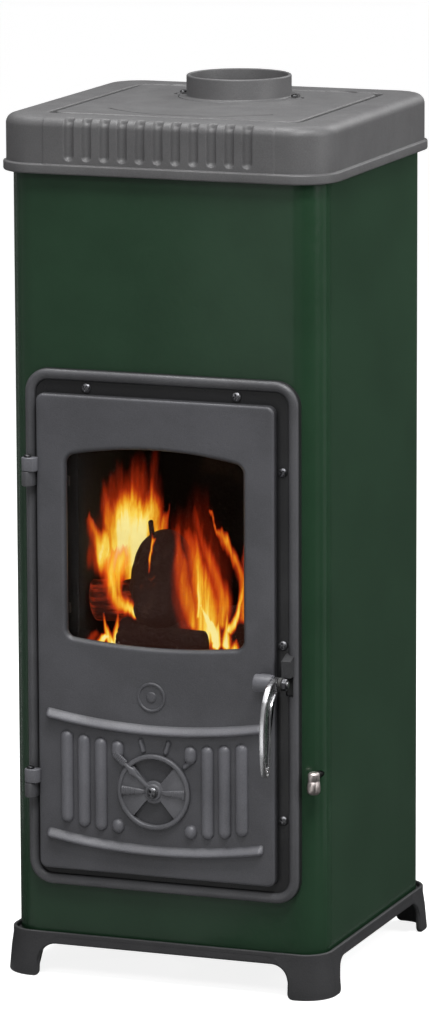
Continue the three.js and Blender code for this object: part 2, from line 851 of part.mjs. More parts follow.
piece('door_frame', doorFrame(), 'blackCast');
frameScrewPlaces.forEach(([x, z], i) => {
  const length = frameFlat + spigotDepth + fireboxFrontPlate;
  piece(`frame_screw_${i + 1}`, crossScrew(x, frameFace - fit, z, length), 'blackSheet');
});
piece('latch_keeper', latchKeeper(), 'blackCast');

function hingePin(split) {
  const top = split + lugSplit + doorLugHeight + fit;
  const bottom = split - frameLugHeight;
  const dome = [[0, bottom], [pinRadius, bottom], [pinRadius, top], [pinHeadRadius, top]];
  for (let i = 1; i <= filletSteps; i++) {
    const angle = (Math.PI / 2) * (i / filletSteps);
    dome.push([i === filletSteps ? 0 : pinHeadRadius * Math.cos(angle), top + pinHeadHeight * Math.sin(angle)]);
  }
  return turned(dome, 'z', [hingeX, hingeY, 0]);
}
piece('hinge_pin_upper', hingePin(upperHingeZ), 'steel');
piece('hinge_pin_lower', hingePin(lowerHingeZ), 'steel');

// Door.

function doorRing(inset, y, radius = doorRadius - inset) {
  return frontRing(
    roundedOutline(doorLeft + inset, doorRight - inset, doorBottom + inset, doorTop - inset,
      Math.max(radius, 2 * fit)),
    y,
  );
}

// The window's outline, moved outwards, with its bowed top and bottom edges.
function windowRing(grow, y) {
  const [left, right] = [windowLeft - grow, windowRight + grow];
  const outline = roundedOutline(
    left, right, windowBottom - grow, windowTop + grow, windowRadius + grow, 2 * cornerSteps,
  );
  const centre = (left + right) / 2;
  const middle = (windowBottom + windowTop) / 2;
  return outline.map(([x, z]) => {
    const bow = 1 - ((x - centre) / (right - centre)) ** 2;
    const rise = z > middle ? windowTopRise : -windowBottomSag;
    const near = Math.abs(z - middle) > (windowTop - windowBottom) / 2 - windowRadius ? 1 : 0;
    return new THREE.Vector3(x, y, z + near * bow * rise);
  });
}

// A bowed rib: a long upper slope, a crest and a short lower slope, lowest at the middle of the door.
const ribShares = [[0, 0], [0.62, 1], [0.78, 0.9], [1, 0]];

function bowedRib(top) {
  const half = (ribRight - ribLeft) / 2;
  const centre = (ribRight + ribLeft) / 2;
  const rings = [];
  for (let i = 0; i <= roundSides; i++) {
    const along = (2 * i) / roundSides - 1;
    const z = top + ribSag * along ** 2;
    const end = i === 0 || i === roundSides ? 0.6 : 1;
    const section = ribShares.map(([down, out]) =>
      new THREE.Vector3(centre + along * half, doorFace - out * ribHeight * end, z - down * ribWidth));
    section.push(
      new THREE.Vector3(centre + along * half, doorFace + doorPlate / 2, z - ribWidth),
      new THREE.Vector3(centre + along * half, doorFace + doorPlate / 2, z),
    );
    rings.push(section);
  }
  return loft(rings);
}

// An upright flute: a round-ended ridge, half sunk in the door.
function flute(x, low, high) {
  const radius = fluteWidth / 2;
  const geometry = new THREE.CapsuleGeometry(radius, high - low - fluteWidth, fluteEndSteps, fluteSides);
  geometry.rotateX(Math.PI / 2).scale(1, fluteHeight / radius, 1).translate(x, doorFace, (low + high) / 2);
  return solid(geometry);
}

function flutes() {
  const made = [];
  for (const side of [-1, 1]) {
    for (let i = 0; i < fluteColumns; i++) {
      const out = fluteInner + (fluteColumns - 1 - i) * flutePitch;
      const x = rosetteX + side * out;
      const spread = fluteSpread * (out / (fluteInner + (fluteColumns - 1) * flutePitch)) ** 2;
      const [low, high] = [fluteBottom + spread, fluteTop + spread];
      const clear = Math.sqrt(Math.max(0, fluteClear ** 2 - out ** 2));
      if (clear > fluteWidth) {
        made.push(flute(x, low, rosetteZ - clear), flute(x, rosetteZ + clear, high));
      } else {
        made.push(flute(x, low, high));
      }
    }
  }
  return made;
}

// Turns a shape drawn along +X from the rosette's middle to an angle seen from the front.
const atRosette = (shape, degrees) => shape.rotate([0, -degrees, 0]).translate([rosetteX, 0, rosetteZ]);

function ringSector(inner, outer, halfAngle, from, to) {
  const points = [];
  for (const [radius, turn] of [[outer, 1], [inner, -1]]) {
    for (let i = 0; i <= 2 * cornerSteps; i++) {
      const angle = THREE.MathUtils.degToRad(halfAngle * turn * (i / cornerSteps - 1));
      points.push([radius * Math.cos(angle), radius * Math.sin(angle)]);
    }
  }
  return slab(points, 'y', from, to);
}

const pointerTurn = pointerStep * (pointerStops - 1);

function airOpenings() {
  const middle = pointerTurn - 90;
  return [0, 180].map((side) => atRosette(
    ringSector(sectorInner, airOuter, airHalfAngle, doorFace - overrun, doorPlateBack + overrun),
    side - middle / 2,
  ));
}

function dialMarks() {
  const made = [];
  for (let i = 1; i < pointerStops; i++) {
    const geometry = new THREE.CapsuleGeometry(markWidth / 2, pointerTab - markWidth, fluteEndSteps, fluteSides);
    geometry.rotateZ(Math.PI / 2).scale(1, (2 * markHeight) / markWidth, 1);
    geometry.translate(pointerReach - pointerTab / 2, doorFace, 0);
    made.push(atRosette(solid(geometry), pointerAngle - pointerStep * i));
  }
  return made;
}

// A ring in the seal's channel, whose corners turn about the same points all the way across it.
const sealRing = (inset, y) => doorRing(inset, y, doorLap + doorRim - inset);

// How far a 45 degree cut at an edge lies inside a round one, as a share of the radius.
const bevelShare = 0.293;

function doorLugs() {
  return [upperHingeZ, lowerHingeZ].map((split) => {
    const [low, high] = [split + lugSplit, split + lugSplit + doorLugHeight];
    const web = [
      [hingeX, hingeY - lugRadius], [doorLeft + fit, hingeY - lugRadius], [doorLeft + doorEdge, hingeY - doorEdge],
      [doorLeft + doorEdge, hingeY + lugRadius], [hingeX, hingeY + lugRadius],
    ];
    return join(rod(lugRadius, low, high, 'z', [hingeX, hingeY, 0]), slab(web, 'z', low, high));
  });
}

const glassLeft = windowLeft - glassLap;
const glassRight = windowRight + glassLap;
const clipPlaces = [[-1, clipLow], [1, clipLow], [-1, clipHigh], [1, clipHigh]].map(([side, z]) => {
  const edge = side < 0 ? glassLeft : glassRight;
  return { side, x: edge + side * (clipBossRadius + clipBossGap), z };
});
const glassFront = doorPlateBack + fit + glassSealThickness + fit;
const glassBack = glassFront + glassThickness;
const clipFace = glassBack + fit;

function door() {
  const edge = doorEdge * bevelShare;
  const body = loft([
    doorRing(0, doorBackFace),
    doorRing(0, doorFace + doorEdge),
    doorRing(edge, doorFace + edge),
    doorRing(doorEdge, doorFace),
  ]);
  const hollow = slab(
    roundedOutline(doorLeft + doorRim, doorRight - doorRim, doorBottom + doorRim, doorTop - doorRim, doorRim),
    'y', doorPlateBack, doorBackFace + overrun,
  );
  const rimIn = doorLap - fit;
  const innerRim = hoop([
    sealRing(rimIn, doorPlateBack - fit), sealRing(rimIn, doorBackFace - fit),
    sealRing(rimIn + doorInnerRim, doorBackFace - fit), sealRing(rimIn + doorInnerRim, doorPlateBack - fit),
  ]);
  const windowCut = loft([
    windowRing(0, doorPlateBack + overrun),
    windowRing(0, doorFace + windowBevel),
    windowRing(windowBevel, doorFace),
    windowRing(windowBevel, doorFace - overrun),
  ]);
  const boss = join(
    rod(bossRadius, bossLeft, bossRight, 'x', [0, shaftY, shaftZ], 20),
    block(bossLeft + doorEdge, doorRight - doorEdge, shaftY, doorFace + doorEdge,
      shaftZ - bossRadius * 0.8, shaftZ + bossRadius * 0.8),
  );
  const medallion = [medallionRadius, medallionRadius * 0.82, medallionRadius * 0.3];
  const medallionPlace = [medallionX, doorFace, medallionZ];
  const emblem = join(
    tube(medallion[1], medallion[0], -doorPlate / 2, medallionHeight, 'front', medallionPlace, 28),
    rod(medallion[2], -doorPlate / 2, medallionHeight, 'front', medallionPlace),
  );
  const clipBosses = clipPlaces.map(({ x, z }) =>
    rod(clipBossRadius, -(clipFace - fit - doorFace), -doorPlate / 2, 'front', [x, doorFace, z], 12));
  const clipHoles = clipPlaces.map(({ x, z }) =>
    rod(clipScrewRadius + fit, -(clipFace + overrun - doorFace), -doorPlate, 'front', [x, doorFace, z], 12));
  const pinHoles = [upperHingeZ, lowerHingeZ].map((z) =>
    rod(pinRadius + fit, z - overrun, z + doorLugHeight + overrun, 'z', [hingeX, hingeY, 0]));
  const plate = join(
    cut(body, hollow), innerRim, bowedRib(upperRibTop), bowedRib(lowerRibTop), ...flutes(),
    ...dialMarks(), emblem, boss, ...doorLugs(), ...clipBosses,
  );
  return cut(
    plate, windowCut, ...airOpenings(), ...clipHoles, ...pinHoles,
    rod(pivotRadius + fit, -doorThickness - overrun, overrun, 'front', [rosetteX, doorFace, rosetteZ]),
    rod(shaftRadius + fit, bossLeft + bossWall, bossRight + overrun, 'x', [0, shaftY, shaftZ]),
  );
}

function doorSeal() {
  const across = (doorLap - doorRim - 3 * fit) / 2;
  const deep = (doorBackFace + doorGap - fit - doorPlateBack - fit) / 2;
  const middle = doorPlateBack + fit + deep;
  const rings = [];
  for (let i = 0; i < 8; i++) {
    const angle = (2 * Math.PI * i) / 8;
    const inset = doorRim + fit + across * (1 + Math.cos(angle));
    rings.push(sealRing(inset, middle + deep * Math.sin(angle)));
  }
  return hoop(rings);
}

function glassClip({ side, x, z }) {
  const inner = x - side * (clipLength - clipBossRadius);
  const outer = x + side * clipBossRadius;
  const hole = rod(clipScrewRadius + fit, -clipSheet - overrun, overrun, 'front', [x, clipFace, z], 12);
  const plate = block(
    Math.min(inner, outer), Math.max(inner, outer), clipFace, clipFace + clipSheet,
    z - clipWidth / 2, z + clipWidth / 2,
  );
  return cut(plate, hole);
}

piece('door', door(), 'castIron');
const glassSealFront = doorPlateBack + fit;
const glassSealBack = glassSealFront + glassSealThickness;
piece('glass_seal', hoop([
  windowRing(glassSealInset, glassSealFront), windowRing(glassSealInset, glassSealBack),
  windowRing(glassLap, glassSealBack), windowRing(glassLap, glassSealFront),
]), 'rope');
piece('window_glass', loft([windowRing(glassLap, glassFront), windowRing(glassLap, glassBack)]), 'glass');
clipPlaces.forEach((place, i) => {
  piece(`glass_clip_${i + 1}`, glassClip(place), 'steel');
  const seat = clipFace + clipSheet + fit;
  const length = seat - doorPlateBack - fit;
  const screw = crossScrew(-place.x, -seat, place.z, length, clipBossRadius - fit, clipScrewRadius);
  piece(`clip_screw_${i + 1}`, screw.rotate([0, 0, 180]), 'steel');
});
piece('door_seal', doorSeal(), 'rope');

// Air rosette.

const rosetteBack = doorFace - fit;
const rosetteFace = rosetteBack - rosetteThickness;
const hubFace = rosetteFace - rosetteHubHeight;
const tabBack = doorFace - fluteHeight - fit;

function airRosette() {
  const place = [rosetteX, rosetteBack, rosetteZ];
  const rise = rosetteThickness + rosetteRimHeight;
  const disc = join(
    rod(rosetteRadius, 0, rosetteThickness, 'front', place, wideRoundSides),
    turned(
      [
        [rosetteRadius - rosetteRimWidth, 0], [rosetteRadius, 0], [rosetteRadius, rise - doorEdge / 2],
        [rosetteRadius - rosetteRimWidth / 3, rise], [rosetteRadius - rosetteRimWidth * (2 / 3), rise],
        [rosetteRadius - rosetteRimWidth, rosetteThickness], [rosetteRadius - rosetteRimWidth, 0],
      ],
      'front', place, wideRoundSides,
    ),
    rod(rosetteHubRadius, 0, rosetteThickness + rosetteHubHeight, 'front', place),
  );
  const sectors = [90, 270].map((middle) => atRosette(
    ringSector(sectorInner, sectorOuter, sectorHalfAngle, hubFace - overrun, rosetteBack + overrun), middle));
  const grips = [0, 180].map((turn) => {
    const [a, b] = [gripInnerWidth / 2, gripOuterWidth / 2];
    const [near, far] = [rosetteHubRadius + fit, rosetteHubRadius + gripLength + fit];
    const ring = (x, half, top) => [
      [x, rosetteBack - fit, -half], [x, rosetteBack - fit, half], [x, rosetteFace - top * 0.6, half],
      [x, rosetteFace - top, half * 0.4], [x, rosetteFace - top, -half * 0.4], [x, rosetteFace - top * 0.6, -half],
    ].map((p) => new THREE.Vector3(...p));
    return atRosette(loft([ring(near, a, gripHeight * 0.5), ring(far, b, gripHeight)]), turn);
  });
  const armEnd = pointerReach - pointerTab;
  const arm = block(
    rosetteHubRadius - fit, armEnd + fit, tabBack - pointerHeight, rosetteFace + fit,
    -pointerArmWidth / 2, pointerArmWidth / 2,
  );
  const tab = block(
    armEnd, pointerReach, tabBack - pointerHeight, tabBack, -pointerTabWidth / 2, pointerTabWidth / 2,
  );
  return cut(
    join(cut(disc, ...sectors), ...grips, atRosette(join(arm, tab), pointerAngle)),
    rod(pivotRadius + fit, -overrun, rosetteThickness + rosetteHubHeight + overrun, 'front', place),
  );
}

piece('air_rosette', airRosette(), 'castIron');
piece('rosette_screw', crossScrew(
  rosetteX, hubFace - fit, rosetteZ, doorPlateBack + pivotNutHeight + 2 * fit - hubFace,
  screwHeadRadius + pivotRadius / 3, pivotRadius,
), 'steel');
piece('rosette_nut', hexNut(
  pivotNutWidth, pivotRadius + fit, -fit - pivotNutHeight, -fit, 'front', [rosetteX, doorPlateBack, rosetteZ],
), 'steel');

// Latch.

const leverLeft = bossRight + fit;
const leverRight = leverLeft + leverThickness;
const camRight = camLeft + camThickness;
const nutLeft = camRight + fit;
const nutRight = nutLeft + nutHeight;

// The lever's front and back edges, as shares of its reach forwards and its drop below the shaft.
const leverFrontShares = [
  [0.06, -0.083], [0.24, -0.075], [0.56, -0.01], [0.8, 0.12], [0.92, 0.26], [0.98, 0.41], [1, 0.6],
  [0.97, 0.77], [0.9, 0.92], [0.82, 0.985], [0.74, 1],
];
const leverBackShares = [
  [0.66, 0.97], [0.61, 0.88], [0.57, 0.76], [0.535, 0.6], [0.515, 0.45], [0.5, 0.33], [0.42, 0.22], [0.24, 0.14],
  [0.02, 0.083],
];
const leverPoint = ([ahead, down]) => [shaftY - ahead * leverReach, shaftZ - down * leverDrop];

function leverOutline(inset) {
  const front = leverFrontShares.slice(inset ? 2 : 0).map(leverPoint);
  const back = leverBackShares.slice(0, inset ? -2 : undefined).map(leverPoint);
  const edge = (points, shift) => {
    const curve = new THREE.SplineCurve(points.map(([y, z]) => new THREE.Vector2(y + shift, z)));
    return curve.getPoints(2 * (points.length - 1)).map((p) => [p.x, p.y]);
  };
  if (!inset) return [...edge(front, 0), ...edge(back, 0)];
  const tip = shaftZ - leverDrop + 4 * inset;
  const pocket = [...edge(front, inset * 1.2), ...edge(back, -inset)];
  return pocket.filter(([, z]) => z > tip);
}

function latchHandle() {
  const outline = leverOutline(0);
  const hub = rod(leverHubRadius, leverLeft, leverRight, 'x', [0, shaftY, shaftZ]);
  const [eyeY, eyeZ] = leverPoint([0.78, 0.91]);
  return cut(
    join(slab(outline, 'x', leverLeft, leverRight), hub),
    slab(leverOutline(leverRim), 'x', leverRight - leverPocket, leverRight + overrun),
    rod(shaftRadius + fit, leverLeft - overrun, leverRight + overrun, 'x', [0, shaftY, shaftZ]),
    rod(leverEyeRadius, leverLeft - overrun, leverRight + overrun, 'x', [0, eyeY, eyeZ]),
  );
}

// The cam on the shaft: its nose lies just under the keeper and drops away as the lever is lifted.
function latchCam() {
  const nose = [
    [shaftY, shaftZ - camHeight / 2], [shaftY + camReach - camThickness, shaftZ - camHeight / 2],
    [shaftY + camReach, shaftZ], [shaftY + camReach, shaftZ + camHeight / 2], [shaftY, shaftZ + camHeight / 2],
  ];
  const hub = rod(leverHubRadius - fit, camLeft, camRight, 'x', [0, shaftY, shaftZ]);
  return cut(
    join(hub, slab(nose, 'x', camLeft, camRight)),
    rod(shaftRadius + fit, camLeft - overrun, camRight + overrun, 'x', [0, shaftY, shaftZ]),
  );
}

const shaftLeft = bossLeft + bossWall + fit;
const shaftRight = nutRight + shaftRadius / 2;
piece('latch_shaft', rod(shaftRadius, shaftLeft, shaftRight, 'x', [0, shaftY, shaftZ]), 'steel');
piece('latch_handle', latchHandle(), 'chrome');
piece('latch_cam', latchCam(), 'blackCast');
piece('latch_nut', hexNut(
  nutWidth, shaftRadius + fit, nutLeft, nutRight, 'x', [0, shaftY, shaftZ],
), 'steel');

// Firebox.

const armFront = armY - riddleTravel - rodRadius - rodClearance;
const armBack = armY + rodRadius + rodClearance;
const armSlot = (x0, x1) =>
  block(x0, x1, armFront, armBack, rodZ - rodRadius - rodClearance, rodZ + rodRadius + rodClearance);

// A hole for a frame screw through the firebox, from the casing's front backwards.
const screwTunnel = ([x, z]) => rod(
  screwShankRadius + fit, -spigotDepth - fireboxFrontPlate - 2 * overrun, overrun, 'front', [x, casingFront, z],
);

function fireboxFrontPlateShape() {
  const half = fireboxWidth / 2 - fit;
  const plate = block(-half, half, fireboxFront, fireboxInnerFront, basePlateTop + fit, fireboxTop);
  const opening = roundedOutline(openingLeft, openingRight, openingBottom, openingTop, openingRadius);
  const holes = frameScrewPlaces
    .filter(([x]) => Math.abs(x) < half - screwHeadRadius)
    .map(screwTunnel);
  return cut(plate, slab(opening, 'y', fireboxFront - overrun, fireboxInnerFront + overrun), ...holes);
}

function fireboxSide(side) {
  const [inner, outer] = [fireboxWidth / 2, fireboxWidth / 2 + fireboxPlate];
  const plate = block(inner, outer, fireboxFront, fireboxBack, basePlateTop + fit, fireboxTop);
  const rail = block(
    inner - railReach, inner + fit, fireboxInnerFront + fit, fireboxInnerBack - fit, railTop - railDepth, railTop,
  );
  const screwHoles = frameScrewPlaces
    .filter(([x]) => x > inner - screwHeadRadius && side > 0)
    .map(screwTunnel);
  const whole = join(plate, rail);
  const shaped = side > 0 ? cut(whole, armSlot(inner - overrun, outer + overrun), ...screwHoles) : whole;
  return side > 0 ? shaped : shaped.mirror([1, 0, 0]);
}

function sideLining(side) {
  const [inner, outer] = [liningInner, fireboxWidth / 2 - fit];
  const back = liningRearFront - fit;
  const plate = block(inner, outer, liningFront, back, hearthZ, liningTop);
  const open = armSlot(inner - overrun, outer + overrun).add(
    block(inner - overrun, outer + overrun, armFront, armBack, hearthZ - overrun, rodZ));
  return side > 0 ? cut(plate, open) : plate.mirror([1, 0, 0]);
}

function ashFloor() {
  const half = fireboxWidth / 2 - fit;
  const [y0, y1] = [fireboxInnerFront + fit, fireboxInnerBack - fit];
  const solidFloor = block(-half, half, y0, y1, basePlateTop + fit, ashFloorTop);
  const under = block(
    -half + ashFloorSheet, half - ashFloorSheet, y0 - overrun, y1 + overrun,
    basePlateTop, ashFloorTop - ashFloorSheet,
  );
  return cut(solidFloor, under);
}

function grateFrame() {
  const half = fireboxWidth / 2 - 2 * fit;
  const [w, d] = [grateOpeningWidth / 2, grateOpeningDepth / 2];
  return cut(
    block(-half, half, fireboxInnerFront + fit, fireboxInnerBack - fit, grateFrameBottom, grateFrameTop),
    block(-w, w, -d, d, grateFrameBottom - overrun, grateFrameTop + overrun),
  );
}

function grate() {
  const [w, d] = [grateWidth / 2, grateDepth / 2];
  const gaps = [];
  const inner = grateWidth - 2 * grateBorder;
  const pitch = inner / grateBars;
  const gapWidth = pitch * (1 - grateBarShare);
  for (let i = 0; i < grateBars; i++) {
    const x = -inner / 2 + pitch * (i + 1 / 2);
    gaps.push(block(
      x - gapWidth / 2, x + gapWidth / 2, -d + grateBorder, d - grateBorder,
      hearthZ - overrun, hearthZ + grateThickness + overrun,
    ));
  }
  const socket = rod(rodRadius + fit, w - grateBorder / 2, w + overrun, 'x', [0, armY, rodZ]);
  return cut(block(-w, w, -d, d, hearthZ, hearthZ + grateThickness), ...gaps, socket);
}

function fuelRetainer() {
  const half = retainerWidth / 2;
  const front = retainerBack - retainerThickness;
  const slots = [];
  const pitch = (retainerWidth - 2 * retainerBorder) / retainerSlots;
  for (let i = 0; i < retainerSlots; i++) {
    const x = -half + retainerBorder + pitch * (i + 1 / 2);
    const w = (pitch * retainerSlotShare) / 2;
    slots.push(block(
      x - w, x + w, front - overrun, retainerBack + overrun,
      hearthZ + retainerBorder, retainerTop - retainerBorder,
    ));
  }
  return cut(block(-half, half, front, retainerBack, hearthZ, retainerTop), ...slots);
}

piece('firebox_front', fireboxFrontPlateShape(), 'blackCast');
piece('firebox_left', fireboxSide(-1), 'blackCast');
piece('firebox_right', fireboxSide(1), 'blackCast');
piece('firebox_rear', block(
  -fireboxWidth / 2 + fit, fireboxWidth / 2 - fit, fireboxInnerBack, fireboxBack, basePlateTop + fit, fireboxTop,
), 'blackCast');
piece('lining_left', sideLining(-1), 'firebrick');
piece('lining_right', sideLining(1), 'firebrick');
piece('lining_rear', block(
  -fireboxWidth / 2 + fit, fireboxWidth / 2 - fit, liningRearFront, fireboxInnerBack - fit,
  hearthZ, liningTop,
), 'firebrick');
piece('ash_floor', ashFloor(), 'blackSheet');
piece('grate_frame', grateFrame(), 'blackCast');
piece('baffle_plate', block(
  -fireboxWidth / 2 + 2 * fit, fireboxWidth / 2 - 2 * fit, baffleFront, fireboxInnerBack - fit,
  liningTop + fit, liningTop + fit + baffleThickness,
), 'blackCast');
piece('fuel_retainer', fuelRetainer(), 'blackCast');
piece('grate', grate(), 'blackCast');

// Grate shaker.

const armEndX = grateWidth / 2 - grateBorder / 2 + fit;

function riddlingRod() {
  return join(
    rod(rodRadius, -armY, -rodFront, 'front', [rodX, 0, rodZ], 12),
    rod(rodRadius, armEndX, rodX, 'x', [0, armY, rodZ], 12),
    solid(new THREE.SphereGeometry(rodRadius, 12, 8).translate(rodX, armY, rodZ)),
  );
}

const knobShares = [[0, 0], [0.6, 0.02], [0.9, 0.1], [1, 0.24], [1, 0.8], [0.88, 0.95], [0.62, 1], [0, 1]];

function riddlingKnob() {
  const height = knobTop - knobBottom;
  const profile = knobShares.map(([out, up]) => [out * knobRadius, knobBottom + up * height]);
  return cut(
    turned(profile, 'z', [rodX, knobY, 0]),
    rod(rodRadius + fit, 0, -rodFront + fit, 'front', [rodX, 0, rodZ], 12),
  );
}

piece('riddling_rod', riddlingRod(), 'steel');
piece('riddling_knob', riddlingKnob(), 'chrome');

// Ash pan.

const panBottom = ashFloorTop + fit;

function ashPan() {
  const [x0, x1] = [panCentreX - panWidth / 2, panCentreX + panWidth / 2];
  return cut(
    block(x0, x1, panFront, panBack, panBottom, panBottom + panHeight),
    block(x0 + panSheet, x1 - panSheet, panFront + panSheet, panBack - panSheet,
      panBottom + panSheet, panBottom + panHeight + overrun),
  );
}

function panHandle() {
  const half = panHandleSpan / 2;
  const y0 = panFront - fit;
  const outline = [
    [panCentreX - half, y0], [panCentreX - half, y0 - panHandleReach], [panCentreX + half, y0 - panHandleReach],
    [panCentreX + half, y0], [panCentreX + half - panHandleSheet, y0],
    [panCentreX + half - panHandleSheet, y0 - panHandleReach + panHandleSheet],
    [panCentreX - half + panHandleSheet, y0 - panHandleReach + panHandleSheet],
    [panCentreX - half + panHandleSheet, y0],
  ];
  const middle = panBottom + panHeight / 2;
  return slab(outline, 'z', middle - panHandleHeight / 2, middle + panHandleHeight / 2);
}

piece('ash_pan', ashPan(), 'blackSheet');
piece('ash_pan_handle', panHandle(), 'steel');

// The origin goes under the middle of the stove's box: the lever reaches forwards, the lip backwards.
const frontReach = -shaftY + leverReach;
const backReach = casingBack + lipOverhang;
stove.position.y = (frontReach - backReach) / 2;

export default stove;
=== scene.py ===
# %% [markdown]
# # A workshop stove, finished over its working frame
#
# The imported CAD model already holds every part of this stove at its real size, with its joints. This
# lesson gives it its looks: enamelled sheet, sand-cast iron, chrome, rope, glass and a fire.
# Nearly every new surface is worked out with numpy as rings of points, and a ring's points are
# computed as whole arrays. Lengths are in millimetres until a mesh is made, because that is how a
# drawing of a stove reads, and they are scaled to metres once, at the end.

import math

import bmesh
import bpy
import numpy as np
from mathutils import Matrix, Vector


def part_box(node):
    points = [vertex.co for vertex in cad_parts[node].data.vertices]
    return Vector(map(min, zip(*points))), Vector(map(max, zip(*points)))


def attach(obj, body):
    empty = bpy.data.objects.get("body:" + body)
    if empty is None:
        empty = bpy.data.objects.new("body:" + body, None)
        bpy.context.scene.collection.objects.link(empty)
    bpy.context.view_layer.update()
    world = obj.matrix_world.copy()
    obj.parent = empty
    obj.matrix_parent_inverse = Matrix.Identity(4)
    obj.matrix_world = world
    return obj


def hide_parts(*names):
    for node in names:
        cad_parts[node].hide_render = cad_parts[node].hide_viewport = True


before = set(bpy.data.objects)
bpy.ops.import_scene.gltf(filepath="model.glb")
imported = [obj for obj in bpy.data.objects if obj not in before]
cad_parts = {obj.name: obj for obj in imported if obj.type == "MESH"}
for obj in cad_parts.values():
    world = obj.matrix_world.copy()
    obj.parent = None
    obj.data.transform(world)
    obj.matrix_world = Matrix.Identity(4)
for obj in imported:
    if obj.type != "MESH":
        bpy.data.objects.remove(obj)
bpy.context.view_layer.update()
MM = 0.001


# %% [markdown]
# ## Measuring the frame
#
# The sizes of the new pieces come from the CAD nodes that they dress. A helper gives the lowest and
# highest corner of one or more nodes in millimetres, and a few named places follow from it.

# %% Places taken from the frame
def extent(*nodes):
    """Lowest and highest corner of some CAD nodes together, in millimetres."""
    corners = np.array([[list(c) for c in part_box(node)] for node in nodes]) / MM
    return corners[:, 0].min(0), corners[:, 1].max(0)


casing_lo, casing_hi = extent("casing")
middle_y = (casing_lo[1] + casing_hi[1]) / 2
casing_half_x = casing_hi[0]
casing_half_y = (casing_hi[1] - casing_lo[1]) / 2
front_y = casing_lo[1]
casing_radius = 35
shut_gap = 0.3
print("casing", casing_lo, casing_hi)


# %% [markdown]
# ## From rings to solids
#
# Castings and pressings have round edges everywhere, and it is the thin highlight on such an edge that
# makes metal look like metal. So each outline here is a loop of points, and each edge is a bend, a
# quarter of an ellipse between two straight stretches. A solid is a skin through loops of equally
# many points. A skin that comes out inside out is turned by the sign of the volume under it.

# %% Loops, bends and lines with round corners
def bend(start, corner, end, parts=5):
    """A quarter ellipse inside a corner:
    corner + (start - corner)(1 - sin t) + (end - corner)(1 - cos t)."""
    t = np.radians(np.linspace(0, 90, parts + 1))[:, None]
    start, corner, end = (np.asarray(p, float) for p in (start, corner, end))
    return corner + (start - corner) * (1 - np.sin(t)) + (end - corner) * (1 - np.cos(t))


def rounded_line(stations, parts=4):
    """A line through (a, b, radius) stations. Each corner with a radius becomes a bend that starts
    and ends that far from it, but never past the middle of a side."""
    spots = np.array([s[:2] for s in stations], float)
    line = [spots[:1]]
    for before, here, after, (_, _, radius) in zip(spots, spots[1:], spots[2:], stations[1:-1]):
        back, ahead = before - here, after - here
        reach = min(radius, 0.49 * np.linalg.norm(back), 0.49 * np.linalg.norm(ahead))
        if reach > 0:
            line.append(bend(here + back / np.linalg.norm(back) * reach, here,
                             here + ahead / np.linalg.norm(ahead) * reach, parts))
        else:
            line.append(here[None])
    return np.concatenate(line + [spots[-1:]])


def rounded_loop(x0, x1, z0, z1, radius, corner=8, steps=(1, 1, 1, 1)):
    """A rectangle with round corners, anticlockwise from its lower right corner. A corner is
    centre + radius (cos a, sin a), and steps gives the parts of the right, top, left and low side."""
    r = max(radius, 0.02)
    centres = np.array([[x1 - r, z0 + r], [x1 - r, z1 - r], [x0 + r, z1 - r], [x0 + r, z0 + r]])
    turns = np.radians(np.linspace(0, 90, corner + 1) + np.array([[-90], [0], [90], [180]]))
    arcs = centres[:, None] + r * np.stack([np.cos(turns), np.sin(turns)], -1)
    loop = []
    for k, parts in enumerate(steps):
        start, end = arcs[k][-1], arcs[(k + 1) % 4][0]
        share = np.linspace(0, 1, parts + 1)[1:-1, None]
        loop += [arcs[k], start + share * (end - start)]
    return np.concatenate(loop)


def grown(loop, reach):
    """A loop moved outwards: each point goes along the sum of its two sides' normals, divided by
    one plus their product, which keeps the sides parallel."""
    ahead = np.roll(loop, -1, 0) - loop
    ahead /= np.linalg.norm(ahead, axis=1, keepdims=True)
    behind = np.roll(ahead, 1, 0)
    normal = np.stack([ahead[:, 1] + behind[:, 1], -ahead[:, 0] - behind[:, 0]], 1)
    return loop + reach * normal / (1 + np.sum(ahead * behind, 1, keepdims=True))


def level(loop, z):
    """A loop laid flat at height z."""
    return np.column_stack([loop, np.full(len(loop), float(z))])


def upright(loop, y):
    """A loop of (x, z) points stood up at depth y."""
    return np.column_stack([loop[:, 0], np.full(len(loop), float(y)), loop[:, 1]])


def sideways(loop, x):
    """A loop of (y, z) points stood up at x, across the stove."""
    return np.column_stack([np.full(len(loop), float(x)), loop])


# %% Skins, turned shapes and prisms
def outward(points, faces):
    """Turns a closed skin right side out. The volume under it is the sum over its triangles of
    a . (b x c) / 6, which is negative where the faces point inwards."""
    fans = np.array([(f[0], f[k], f[k + 1]) for f in faces for k in range(1, len(f) - 1)])
    a, b, c = (points[fans[:, k]] for k in range(3))
    inside_out = np.einsum("ij,ij->", a, np.cross(b, c)) < 0
    return points, [f[::-1] for f in faces] if inside_out else faces


def grid_faces(rows, cols, round_rows, round_cols):
    """The faces of a grid: each joins point (i, j) to (i, j + 1), (i + 1, j + 1) and (i + 1, j)."""
    i = np.arange(rows if round_rows else rows - 1)[:, None]
    j = np.arange(cols if round_cols else cols - 1)[None, :]
    spot = lambda a, b: (a % rows) * cols + b % cols
    corners = [spot(i, j), spot(i, j + 1), spot(i + 1, j + 1), spot(i + 1, j)]
    return np.stack(np.broadcast_arrays(*corners), -1).reshape(-1, 4).tolist()


def skin(rings, closed=False):
    """A solid through loops of equally many points, closed back on itself or by a face at each end."""
    rings = np.asarray(rings, float)
    rows, cols = rings.shape[:2]
    faces = grid_faces(rows, cols, closed, True)
    if not closed:
        faces += [list(range(cols))[::-1], list(range((rows - 1) * cols, rows * cols))]
    return outward(rings.reshape(-1, 3), faces)


